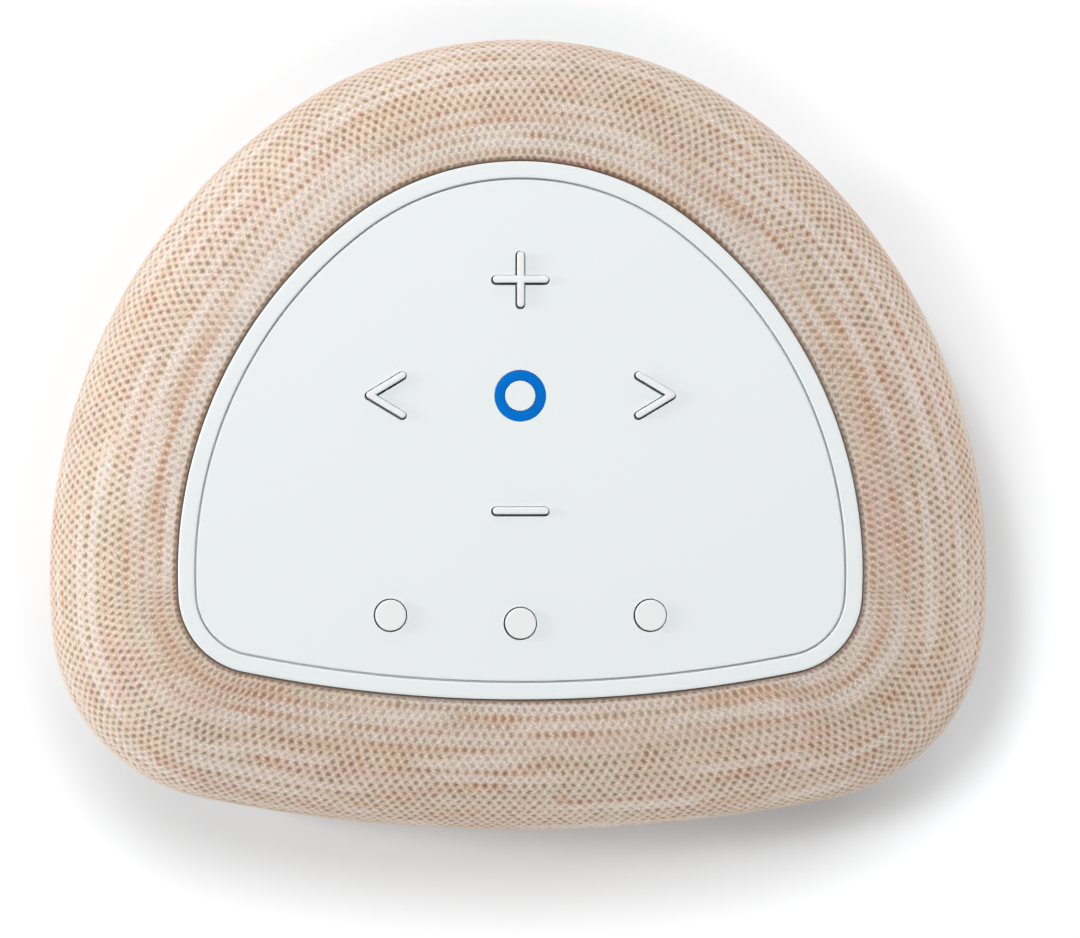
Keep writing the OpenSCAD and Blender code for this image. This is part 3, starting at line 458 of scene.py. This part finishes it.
# The first and the last row have no holes and lie a little inside, where the knit starts to fold.
rings = []
heights = []
for row, level in enumerate(row_levels):
    depth = np.where((2 * np.arange(columns) - row) % 4 == 0, HOLE_DEPTH, 0.0)
    if row == 0:
        level, depth = LEVEL_MAX - 0.9, 0.1 * MM
    if row == half_rows:
        level, depth = 0.6 - LEVEL_MAX, 0.05 * MM
    rings.append(skin(level, turns_at(level), depth))
    heights.append(row / 2)

# Beyond them it folds in beside the bezel and under the base: level, depth in mm, courses further on.
top_fold = (
    (LEVEL_MAX - 0.3, 0.3, 0.2), (LEVEL_MAX - 0.1, 0.75, 0.45), (LEVEL_MAX, 1.3, 0.8),
    (LEVEL_MAX - 0.6, 2.8, 1.5))
low_fold = ((-LEVEL_MAX, 0.35, 0.3), (-LEVEL_MAX, 1.0, 0.6), (0.8 - LEVEL_MAX, 2.2, 1.2))
for level, depth, further in low_fold:
    rings.append(skin(level, turns_at(level), depth * MM))
    heights.append(half_rows / 2 + further)
for level, depth, further in top_fold:
    rings.insert(0, skin(level, turns_at(level), depth * MM))
    heights.insert(0, -further)
top_rings = len(top_fold)
ring_count = len(rings)

# The port window spans these heights, and this angle each way from the back.
window_z = (33.1 * MM, 15.8 * MM)
WINDOW_TURN = 14.8
window_rows = [top_rings + int(np.argmin(abs(row_levels - level_of(z)))) for z in window_z]
window_half = int(np.argmin(abs(turns_at(0)[:STITCHES] - (90 - WINDOW_TURN))))

# Colours are looked up on a cylinder. One unit of it is a course down, and about this many stitches round.
UNIT_STITCHES = 12
course_r = 3.6
turning = 2 * math.pi * even
cover_courses = np.concatenate([
    np.stack([course_r * np.cos(turning), course_r * np.sin(turning), np.full(columns, height)], -1)
    for height in heights])


def corner(row, column):
    """Vertex, stitch place and bake place of a grid point. The places don't jump back at the seam."""
    return (
        row * columns + column % columns, (column / 2, heights[row]),
        (column / columns, 1 - row / (ring_count - 1)))


# Each quad is split along the diagonal that meets a hole.
cover_faces, stitch_uv, bake_uv = [], [], []
for row in range(ring_count - 1):
    at_window = window_rows[0] <= row < window_rows[1]
    for column in range(columns):
        if at_window and not window_half <= column < columns - window_half:
            continue
        a, b = corner(row, column), corner(row, column + 1)
        c, d = corner(row + 1, column + 1), corner(row + 1, column)
        meets_hole = (2 * column - row + top_rings) % 4 in (0, 3)
        for face in ((a, d, c), (a, c, b)) if meets_hole else ((a, d, b), (b, d, c)):
            cover_faces.append([p[0] for p in face])
            stitch_uv.extend(p[1] for p in face)
            bake_uv.extend(p[2] for p in face)

# The cut edge round the port window is turned in over the grille frame, at two depths.
first_row, last_row = window_rows
window_edge = (
    [(first_row, column) for column in range(-window_half, window_half)]
    + [(row, window_half) for row in range(first_row, last_row)]
    + [(last_row, column) for column in range(window_half, -window_half, -1)]
    + [(row, -window_half) for row in range(last_row, first_row, -1)])
hem_size = len(window_edge)
hem_loops = [[corner(*point)[0] for point in window_edge]]
edge_points = np.concatenate(rings)[hem_loops[0]]
inward = edge_points * [1, 1, 0] / np.hypot(edge_points[:, 0], edge_points[:, 1])[:, None]
hem_rings = []
for hem_depth in (0.5 * MM, 1.7 * MM):
    start = ring_count * columns + hem_size * len(hem_rings)
    hem_loops.append(list(range(start, start + hem_size)))
    hem_rings.append(edge_points - hem_depth * inward)
cover_courses = np.concatenate([cover_courses] + [cover_courses[hem_loops[0]]] * len(hem_rings))
for outside, inside in zip(hem_loops, hem_loops[1:]):
    for i, (row, column) in enumerate(window_edge):
        k = (i + 1) % hem_size
        next_row, next_column = window_edge[k]
        past_seam = columns if min(column, next_column) < 0 else 0
        ends = corner(next_row, next_column + past_seam), corner(row, column + past_seam)
        cover_faces.append([outside[k], outside[i], inside[i], inside[k]])
        stitch_uv.extend(ends[end][1] for end in (0, 1, 1, 0))
        bake_uv.extend(ends[end][2] for end in (0, 1, 1, 0))


def link(name, data):
    """A new object of the scene."""
    made = bpy.data.objects.new(name, data)
    bpy.context.scene.collection.objects.link(made)
    return made


def smooth(name, mesh, sharp=35.0):
    """An object that shades smoothly, with edges sharper than an angle kept sharp."""
    mesh.polygons.foreach_set("use_smooth", [True] * len(mesh.polygons))
    mesh.set_sharp_from_angle(angle=math.radians(sharp))
    return link(name, mesh)


def place_mesh(name, vertices, faces, sharp=35.0):
    """A smooth object made of points and faces."""
    mesh = bpy.data.meshes.new(name)
    mesh.from_pydata([tuple(v) for v in vertices], [], [tuple(f) for f in faces])
    return smooth(name, mesh, sharp)


cover = place_mesh("knitted_cover", np.concatenate(rings + hem_rings), cover_faces, 180.0)
for name, places in (("OFBake", bake_uv), ("stitches", stitch_uv)):
    cover.data.uv_layers.new(name=name).data.foreach_set("uv", np.array(places, np.float32).ravel())
cover.data.attributes.new("course", "FLOAT_VECTOR", "POINT").data.foreach_set(
    "vector", cover_courses.astype(np.float32).ravel())

knit = Finish("heathered_knit", srgb(214, 192, 175), 0.85, Sheen_Weight=0.25, Sheen_Roughness=0.5)
knit.set("Sheen Tint", (*srgb(255, 240, 226), 1))
course_at = knit.node("Attribute", {"attribute_name": "course"}, {}, "Vector")
course_x, course_y = (course_at.axis(name) for name in "XY")
stitch_at = knit.node("UVMap", {"uv_map": "stitches"})
around = stitch_at.axis("X") + 0.7 * (knit.noise(course_at, 5.0) - 0.5)
down = stitch_at.axis("Y") + 0.6 * (knit.noise(course_at, 7.0) - 0.5)

# Two sets of slanting lines cross between the holes. A hole lies where both are furthest away.
slants = (around + 0.5 * down, around - 0.5 * down)
waves = [slant.wave() for slant in slants]
own_hole = [(slant + 0.5).floor().wrapped(STITCHES) for slant in slants]
uneven = knit.node(
    "TexWhiteNoise", {"noise_dimensions": "2D"},
    {"Vector": knit.node("CombineXYZ", {}, {0: own_hole[0], 1: own_hole[1]})})
lattice = waves[0] + waves[1] + 0.3 * down.wave()
holes = (lattice + 0.9 * uneven).ramp(0.5, 2.9)
threads = [wave.ramp(-0.35, -1.0) for wave in waves]
# Where the threads cross, the yarn is raised in the bump and painted near white: a painted highlight.
crossing_ridge_highlight = 0.3 * threads[0].above(threads[1]) + 0.7 * threads[0] * threads[1]

# Each run of dyed yarn keeps to its course, and the loops of neighbouring courses reach into each other.
bulge = around.wave() * ((down - 0.5) * math.pi).cosine()
course = (down + 0.5 - 0.22 * bulge).floor()


def runs(long, wide, seed, low, high):
    """Runs of dyed yarn: long stitches by wide courses, where a noise passes from low to high."""
    shrink = UNIT_STITCHES / long
    at = knit.node(
        "CombineXYZ", {}, {0: shrink * course_x, 1: shrink * course_y, 2: course * (1 / wide) + seed})
    return knit.noise(at, 1.0, 1.0).ramp(low, high)


# Beside the bezel the courses are drawn up tight. Their holes close and their colours run on in lines.
drawn_up = down.ramp(9.0, 3.0)
line_pale = runs(45, 0.37, 11.7, 0.50, 0.58) * drawn_up
line_tan = runs(45, 0.37, 151.3, 0.51, 0.60) * drawn_up
pale_yarn = runs(20, 0.9, 3.1, 0.53, 0.62)
grey_yarn = runs(13, 1.3, 37.7, 0.50, 0.62)
pink_yarn = runs(12, 1.7, 62.3, 0.48, 0.62)
tan_yarn = runs(10, 1.1, 91.9, 0.52, 0.64)
bright_yarn = runs(7, 0.4, 127.3, 0.65, 0.72)
fluff = knit.noise(knit.place(0.45 * MM), 1.0, 3.0, 0.6)
yarn = srgb(222, 200, 178)
# Dyed runs and fluff tint the yarn, and the thread crossings get their painted highlight.
for share, dye_and_highlight in (
        (0.8 * pink_yarn, srgb(220, 186, 174)),
        (0.65 * grey_yarn, srgb(206, 198, 178)),
        (0.55 * tan_yarn, srgb(206, 168, 136)),
        (0.6 * bright_yarn, srgb(206, 148, 116)),
        (0.75 * pale_yarn, srgb(236, 226, 218)),
        (0.7 * line_tan, srgb(206, 160, 130)),
        (0.75 * line_pale, srgb(234, 226, 220)),
        (0.8 * crossing_ridge_highlight, srgb(254, 240, 226)),
        (0.45 * fluff.ramp(0.62, 0.36), srgb(178, 148, 126))):
    yarn = knit.mix(share, yarn, dye_and_highlight)

# The holes are in shade, and so is the fold beside the bezel.
yarn = knit.mix(
    holes * (1.0 - 0.5 * pale_yarn) * (1.0 - 0.4 * drawn_up), yarn, (0.50, 0.41, 0.35), "MULTIPLY")
yarn = knit.mix(0.9 * down.ramp(0.4, -0.4), yarn, (0.42, 0.33, 0.28), "MULTIPLY")
knit.set("Base Color", yarn)
knit.bump(0.6 * (1.0 - holes) + 0.3 * crossing_ridge_highlight + 0.25 * fluff, 0.35 * MM, 0.7)
cover.data.materials.append(knit.material)
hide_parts("fabric_cover")
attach(cover, "speaker")


# Bezel.
# Satin white moulding that closes the cover's top edge and frames the control plate. Its flange is trapped
# between the grille frame's ledge and the panel carrier, and a low stop closes the shut line from below.
OUTLINE_STEPS = 720
face_t, bezel_w, shut_gap, skirt_t = 2 * MM, 3.5 * MM, 0.4 * MM, 1.6 * MM
flange_w, flange_t = 2.6 * MM, 1.5 * MM
plate_z, ledge_z = panel_z - face_t, panel_z - 5.5 * MM
carrier_top = ledge_z + flange_t
stop_z, stop_w = panel_z - 1.8 * MM, 0.3 * MM
outer_r, inner_r = 0.45 * MM, 0.3 * MM
flat_from, flat_to = 0.8 * MM, bezel_w - 0.6 * MM
panel_turns = spread(edge(panel, all_turns), np.arange(OUTLINE_STEPS) / OUTLINE_STEPS)


def panel_ring(inset):
    return edge(panel, panel_turns, inset)


def rounding(radius, steps=4):
    """(inset, drop) pairs over a rounded edge, from the flat top to the upright side."""
    swings = [math.radians(90 * k / steps) for k in range(steps + 1)]
    return [(radius * (1 - math.sin(swing)), radius * (1 - math.cos(swing))) for swing in swings]


def sweep(name, outline_at, section):
    """A closed ring of a piece: the section's (inset, z) points carried round an outline."""
    loops = [np.column_stack([outline_at(inset), np.full(len(outline_at(inset)), z)]) for inset, z in section]
    n, m = len(loops[0]), len(loops)
    faces = [
        (j * n + i, ((j + 1) % m) * n + i, ((j + 1) % m) * n + (i + 1) % n, j * n + (i + 1) % n)
        for j in range(m) for i in range(n)]
    return place_mesh(name, np.concatenate(loops), faces)


bezel_section = (
    [(-flange_w, ledge_z), (-flange_w, carrier_top), (0, carrier_top)]
    + [(inset, panel_z - drop) for inset, drop in reversed(rounding(outer_r))]
    + [(flat_from, panel_z), (flat_to, panel_z)]
    + [(bezel_w - inset, panel_z - drop) for inset, drop in rounding(inner_r)]
    + [(bezel_w, stop_z), (bezel_w + stop_w, stop_z), (bezel_w + stop_w, plate_z), (skirt_t, plate_z)]
    + [(skirt_t, ledge_z)])
bezel = sweep("bezel_ring", panel_ring, bezel_section[::-1])
white_plastic = Finish("satin_white_plastic", srgb(234, 239, 240), 0.42, Specular_IOR_Level=0.35)
cloud = white_plastic.noise(white_plastic.place(), 18.0)
satin = white_plastic.noise(white_plastic.place(0.25 * MM), 1.0)
white_plastic.set(
    "Base Color", white_plastic.mix(0.5 * cloud + 0.5 * satin, srgb(232, 237, 238), srgb(236, 241, 242)))
white_plastic.set("Roughness", 0.40 + 0.08 * cloud)
white_plastic.bump(satin, 0.006 * MM)


def finish_piece(piece, node, finish, body="speaker"):
    """Puts a detailed piece in the place of its CAD node."""
    piece.data.materials.append(finish.material)
    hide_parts(node)
    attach(piece, body)


finish_piece(bezel, "panel_bezel", white_plastic)


# Control plate.
# Satin white plate with a hole for each key, flush with the bezel inside a narrow shut line. Its skirt stands
# on the panel carrier.
def arc(centre, radius, start, end, steps):
    """Points of an arc between two directions."""
    turns = np.radians(np.linspace(start, end, steps + 1))
    return np.array(centre) + radius * np.stack([np.cos(turns), np.sin(turns)], -1)


def circle(centre, radius, steps):
    """Points of a closed circle."""
    return arc(centre, radius, 0, 360 - 360 / steps, steps - 1)


def turned(points, degrees):
    c, s = math.cos(math.radians(degrees)), math.sin(math.radians(degrees))
    return points @ np.array([[c, s], [-s, c]])


bar_w, bar_l = 1.5 * MM, 11.8 * MM
arrow_w, arrow_l, arrow_turn = 1.35 * MM, 9.5 * MM, 31.0
round_r, ring_r, play_r = 3.25 * MM, 5.4 * MM, 3.2 * MM
ring_at = np.array([0, 7.8 * MM])
END_STEPS = 12
DISC_STEPS = 96


# The outline of each key is a function of how far it is grown, since the holes are larger than the keys.
def plus_outline(grow):
    half = bar_w / 2 + grow
    arm = np.concatenate([arc((bar_l / 2 - bar_w / 2, 0), half, -90, 90, END_STEPS), [[half, half]]])
    return np.concatenate([turned(arm, 90 * k) for k in range(4)])


def minus_outline(grow):
    arm = arc((bar_l / 2 - bar_w / 2, 0), bar_w / 2 + grow, -90, 90, END_STEPS)
    return np.concatenate([arm, turned(arm, 180)])


def arrow_outline(grow):
    """A chevron that points along +X, with the centre of its point at the origin."""
    half, arm = arrow_w / 2 + grow, arrow_l - arrow_w
    tip = arc((0, 0), half, arrow_turn - 90, 90 - arrow_turn, END_STEPS)
    upper = turned(arc((-arm, 0), half, 90, 270, END_STEPS), -arrow_turn)
    lower = turned(arc((-arm, 0), half, 90, 270, END_STEPS), arrow_turn)
    inner = [[-half / math.sin(math.radians(arrow_turn)), 0]]
    return np.concatenate([tip, upper, inner, lower])


def disc_outline(radius):
    return lambda grow: circle((0, 0), radius + grow, DISC_STEPS)


def at(outline, centre, turn=0):
    """An outline turned and moved to its place."""
    return lambda grow: turned(outline(grow), turn) + np.array(centre)


volume_pitch, arrow_pitch = 24.5 * MM, 32 * MM
round_pitch, round_y, round_bow = 27.5 * MM, 46.5 * MM, 1.7 * MM
volume_up_at, volume_down_at = ring_at + [0, volume_pitch], ring_at - [0, volume_pitch]
previous_at, next_at = ring_at - [arrow_pitch, 0], ring_at + [arrow_pitch, 0]
round_at = [ring_at + [k * round_pitch, -round_y - (0 if k else round_bow)] for k in (-1, 0, 1)]
key_outlines = {
    "volume_up_key": at(plus_outline, volume_up_at),
    "volume_down_key": at(minus_outline, volume_down_at),
    "previous_key": at(arrow_outline, previous_at, 180),
    "next_key": at(arrow_outline, next_at),
    "left_round_key": at(disc_outline(round_r), round_at[0]),
    "middle_round_key": at(disc_outline(round_r), round_at[1]),
    "right_round_key": at(disc_outline(round_r), round_at[2])}


class Shell:
    """A piece made of loops of points joined in order, with flat faces between chosen loops."""

    def __init__(self):
        self.shape = bmesh.new()

    def loop(self, points, z):
        return [self.shape.verts.new((x, y, z)) for x, y in points]

    def wall(self, loops):
        """Quads down through the loops."""
        for upper, lower in zip(loops, loops[1:]):
            for i in range(len(upper)):
                k = (i + 1) % len(upper)
                self.shape.faces.new((upper[i], lower[i], lower[k], upper[k]))

    def lid(self, *loops):
        """A flat face inside the first loop and outside the others."""
        edges = []
        for loop in loops:
            for i, v in enumerate(loop):
                pair = (v, loop[(i + 1) % len(loop)])
                edges.append(self.shape.edges.get(pair) or self.shape.edges.new(pair))
        bmesh.ops.triangle_fill(self.shape, use_beauty=True, use_dissolve=False, edges=edges)

    def piece(self, name):
        bmesh.ops.recalc_face_normals(self.shape, faces=self.shape.faces)
        mesh = bpy.data.meshes.new(name)
        self.shape.to_mesh(mesh)
        self.shape.free()
        return smooth(name, mesh)


# A land is the flat strip that borders a rounded edge, so that the shading of the face beside it stays flat.
plate_edge, plate_land = 0.25 * MM, 0.2 * MM
hole_edge, hole_land = 0.12 * MM, 0.1 * MM
key_gap, ring_gap = 0.3 * MM, 0.05 * MM
plate_inset = bezel_w + shut_gap
plate = Shell()
outer = [plate.loop(panel_ring(plate_inset + plate_edge + plate_land), panel_z)]
outer += [plate.loop(panel_ring(plate_inset + inset), panel_z - drop) for inset, drop in rounding(plate_edge)]
outer += [plate.loop(panel_ring(plate_inset), carrier_top)]
outer += [plate.loop(panel_ring(plate_inset + skirt_t), z) for z in (carrier_top, plate_z)]
plate.wall(outer)
hole_tops, hole_ends = [], []
plate_holes = [(outline, key_gap) for outline in key_outlines.values()]
plate_holes.append((at(disc_outline(ring_r), ring_at), ring_gap))
for outline, gap in plate_holes:
    loops = [plate.loop(outline(gap + hole_edge + hole_land), panel_z)]
    loops += [plate.loop(outline(gap + inset), panel_z - drop) for inset, drop in rounding(hole_edge, 3)]
    loops += [plate.loop(outline(gap), plate_z)]
    plate.wall(loops)
    hole_tops.append(loops[0])
    hole_ends.append(loops[-1])
plate.lid(outer[0], *hole_tops)
plate.lid(outer[-1], *hole_ends)
finish_piece(plate.piece("control_face"), "control_plate", white_plastic)


# Light ring.
# Blue diffusing moulding pressed into the control plate from below. Four lamps light it. Its brim lies under
# the plate, and a step in its underside takes the play key's lip.
lip_t, lip_gap = 0.9 * MM, 0.1 * MM
lip_z = plate_z - lip_gap - lip_t
play_gap, ring_edge = 0.1 * MM, 0.05 * MM
step_w, step_h, brim_w = 1.2 * MM, 0.4 * MM, 1.2 * MM
ring_section = (
    [(ring_r - inset, panel_z - drop) for inset, drop in reversed(rounding(ring_edge, 2))]
    + [(play_r + play_gap + inset, panel_z - drop) for inset, drop in rounding(ring_edge, 2)]
    + [(play_r + play_gap, lip_z), (play_r + step_w, lip_z), (play_r + step_w, lip_z - step_h)]
    + [(ring_r + brim_w, lip_z - step_h), (ring_r + brim_w, plate_z - lip_gap), (ring_r, plate_z - lip_gap)])
blue_ring = sweep("blue_light_ring", lambda radius: disc_outline(radius)(0) + ring_at, ring_section)
blue = Finish("blue_diffuser", srgb(2, 113, 202), 0.5, Specular_IOR_Level=0.02)
glow = blue.noise(blue.place(), 260.0)
blue.set("Base Color", blue.mix(glow, srgb(1, 110, 202), srgb(3, 116, 212)))
blue.bump(blue.noise(blue.place(0.3 * MM), 1.0), 0.005 * MM)
blue.set("Emission Color", (*srgb(6, 113, 202), 1))
blue.set("Emission Strength", 0.05)
finish_piece(blue_ring, "light_ring", blue)


# Keys.
# Loose satin caps in the plate's holes, each with a thin lip under the plate and a stem on the rubber mat.
# Below the plate's face their sides are dark grey, painted shade that darkens the gaps round them. They sit
# to the upper right in their holes, the bars more than the round ones.
key_rise, key_lip, cap_land = 0.8 * MM, 0.8 * MM, 0.12 * MM
bar_play, round_play = np.array([0.10, 0.20]) * MM, np.array([0.07, 0.07]) * MM
bar_edge, round_edge = 0.35 * MM, 0.25 * MM
stem_h, stem_r, arrow_stem = 0.4 * MM, 0.7 * MM, 2.5 * MM
STEM_STEPS = 24
key_plastic = Finish("satin_key_plastic", srgb(238, 240, 240), 0.38)
key_cloud = key_plastic.noise(key_plastic.place(), 60.0)
key_satin = key_plastic.noise(key_plastic.place(0.2 * MM), 1.0)
key_white = key_plastic.mix(0.5 * key_cloud + 0.5 * key_satin, srgb(232, 234, 234), srgb(236, 238, 238))
# Painted shade: the keys' sides turn dark grey below the plate's face, so the gaps round the keys read dark.
painted_gap_shade = key_plastic.place().axis("Z").ramp(panel_z - 0.1 * MM, panel_z - 0.9 * MM)
key_plastic.set("Base Color", key_plastic.mix(painted_gap_shade, key_white, srgb(96, 98, 98)))
key_plastic.set("Roughness", 0.34 + 0.08 * key_cloud)
key_plastic.bump(key_satin, 0.005 * MM)


def key_cap(node, outline, top, bottom, lip_top, stem, edge_r, finish=key_plastic):
    """A key from its rounded top down to its lip, and to its stem if it has one at a place of its own."""
    cap = Shell()
    loops = [cap.loop(outline(-edge_r - cap_land), top)]
    loops += [cap.loop(outline(-inset), top - drop) for inset, drop in rounding(edge_r)]
    loops += [cap.loop(outline(0), lip_top)]
    loops += [cap.loop(outline(key_lip), z) for z in (lip_top, bottom)]
    cap.wall(loops)
    cap.lid(loops[0])
    if stem is None:
        cap.lid(loops[-1])
    else:
        foot = [cap.loop(circle(stem, stem_r, STEM_STEPS), z) for z in (bottom, bottom - stem_h)]
        cap.wall(foot)
        cap.lid(loops[-1], foot[0])
        cap.lid(foot[1])
    finish_piece(cap.piece(node + "_cap"), node, finish, node)


stems_at = [
    volume_up_at, volume_down_at, previous_at + [arrow_stem, 0], next_at - [arrow_stem, 0], *round_at]
for (node, outline), stem in zip(key_outlines.items(), stems_at):
    play, edge_r = (round_play, round_edge) if "round" in node else (bar_play, bar_edge)
    key_cap(node, at(outline, play), panel_z + key_rise, lip_z, lip_z + lip_t, stem + play, edge_r)

# The play key stands lower, and its lip lies under the light ring.
play_rise, play_lip_t, play_edge = 0.2 * MM, 0.8 * MM, 0.2 * MM
play_lip_top = lip_z - lip_gap
key_cap(
    "play_key", at(disc_outline(play_r), ring_at), panel_z + play_rise, play_lip_top - play_lip_t,
    play_lip_top, None, play_edge, white_plastic)


# Floor, lamps and camera.
# A white sweep that takes the speaker's shadow and whitens away from it with light painted on for the camera,
# so a band close round the speaker is left painted darker. Above is a sky that is brightest at the horizon.
# Two soft lamps hang high behind the speaker, one of them to the left, and a third stands low on the left.
# The camera looks straight down from 0.6 m above the belt.
class Sky(Finish):
    """The world's light. Finish's nodes are added to its tree."""

    def __init__(self):
        world = bpy.data.worlds.new("studio")
        world.use_nodes = True
        bpy.context.scene.world = world
        self.tree = world.node_tree


sky_horizon = 2.07
sky = Sky()
low = 1.0 - abs(sky.node("TexCoord").axis("Z"))
dome = sky.node("Background", {}, {"Color": (1, 1, 1, 1), "Strength": sky_horizon * low * low})
white = sky.node("Background", {}, {"Color": (1, 1, 1, 1), "Strength": 1.0})
straight = [
    sky.node("LightPath", {}, {}, "Is %s Ray" % kind) for kind in ("Camera", "Glossy", "Transmission")]
seen = sky.node("MixShader", {}, {0: straight[0] + straight[1] + straight[2], 1: dome, 2: white})
sky.plug(sky.tree.nodes["World Output"].inputs["Surface"], seen)

lamp_aim = (0, 0, 0.05)


def lamp(name, place, size, power):
    """A square soft lamp at a place, turned to the speaker."""
    light = bpy.data.lights.new(name, "AREA")
    light.shape = "SQUARE"
    light.size = size
    light.energy = power
    made = link(name, light)
    made.location = place
    way = np.array(lamp_aim) - np.array(place)
    made.rotation_euler = (
        math.atan2(math.hypot(way[0], way[1]), -way[2]), 0, math.atan2(way[1], way[0]) - math.pi / 2)


lamp("key_softbox", (-0.83, 0.5, 3.47), 0.3, 32.5)
lamp("back_softbox", (0.14, 1.05, 3.3), 0.9, 32.5)
lamp("left_softbox", (-2.56, 0.36, 0.57), 0.4, 24)

FLOOR_STEPS = 240
floor_turns = spread(edge(belt, all_turns), np.arange(FLOOR_STEPS) / FLOOR_STEPS)
floor_reach = [0, 10 * MM, 20 * MM, 30 * MM, 40 * MM, 50 * MM, 0.3, 2.0, 6.0]
floor_points = np.concatenate([edge(belt, floor_turns, -further) for further in floor_reach])
floor_faces = [tuple(reversed(range(FLOOR_STEPS)))]
for k in range(0, FLOOR_STEPS * (len(floor_reach) - 1), FLOOR_STEPS):
    for i in range(FLOOR_STEPS):
        after = (i + 1) % FLOOR_STEPS
        floor_faces.append((k + i, k + after, k + FLOOR_STEPS + after, k + FLOOR_STEPS + i))
floor = place_mesh("floor", [(x, y, 0) for x, y in floor_points], floor_faces)
floor.data.attributes.new("away", "FLOAT", "POINT").data.foreach_set(
    "value", np.repeat(floor_reach, FLOOR_STEPS).astype(np.float32))
paper = Finish("white_paper", (0.945, 0.972, 0.998), 0.9)
fleck = paper.noise(paper.place(), 60.0)
paper.set("Base Color", paper.mix(fleck, (0.94, 0.968, 0.994), (0.95, 0.976, 1.0)))
# Painted light for the camera only: none close to the speaker, growing from 20 mm out, so the band round it
# stays as painted shade that deepens its shadow.
away = paper.node("Attribute", {"attribute_name": "away"}, {}, "Fac")
painted_floor_light = paper.mix(away.ramp(20 * MM, 50 * MM), (0.0, 0.0, 0.0), (0.26, 0.26, 0.26))
paper.set("Emission Color", paper.mix(away.ramp(0.3, 2.0), painted_floor_light, (0.65, 0.65, 0.65)))
paper.set("Emission Strength", paper.node("LightPath", {}, {}, "Is Camera Ray"))
floor.data.materials.append(paper.material)

camera = link("camera", bpy.data.cameras.new("camera"))
camera.data.sensor_width = 36
camera.data.lens = 89.56
camera.data.shift_x = 0.0646
camera.data.clip_end = 20
camera.location = (-10.6 * MM, -7.7 * MM, belt_z + 0.6047)
bpy.context.scene.camera = camera
bpy.context.scene.view_settings.view_transform = "Standard"
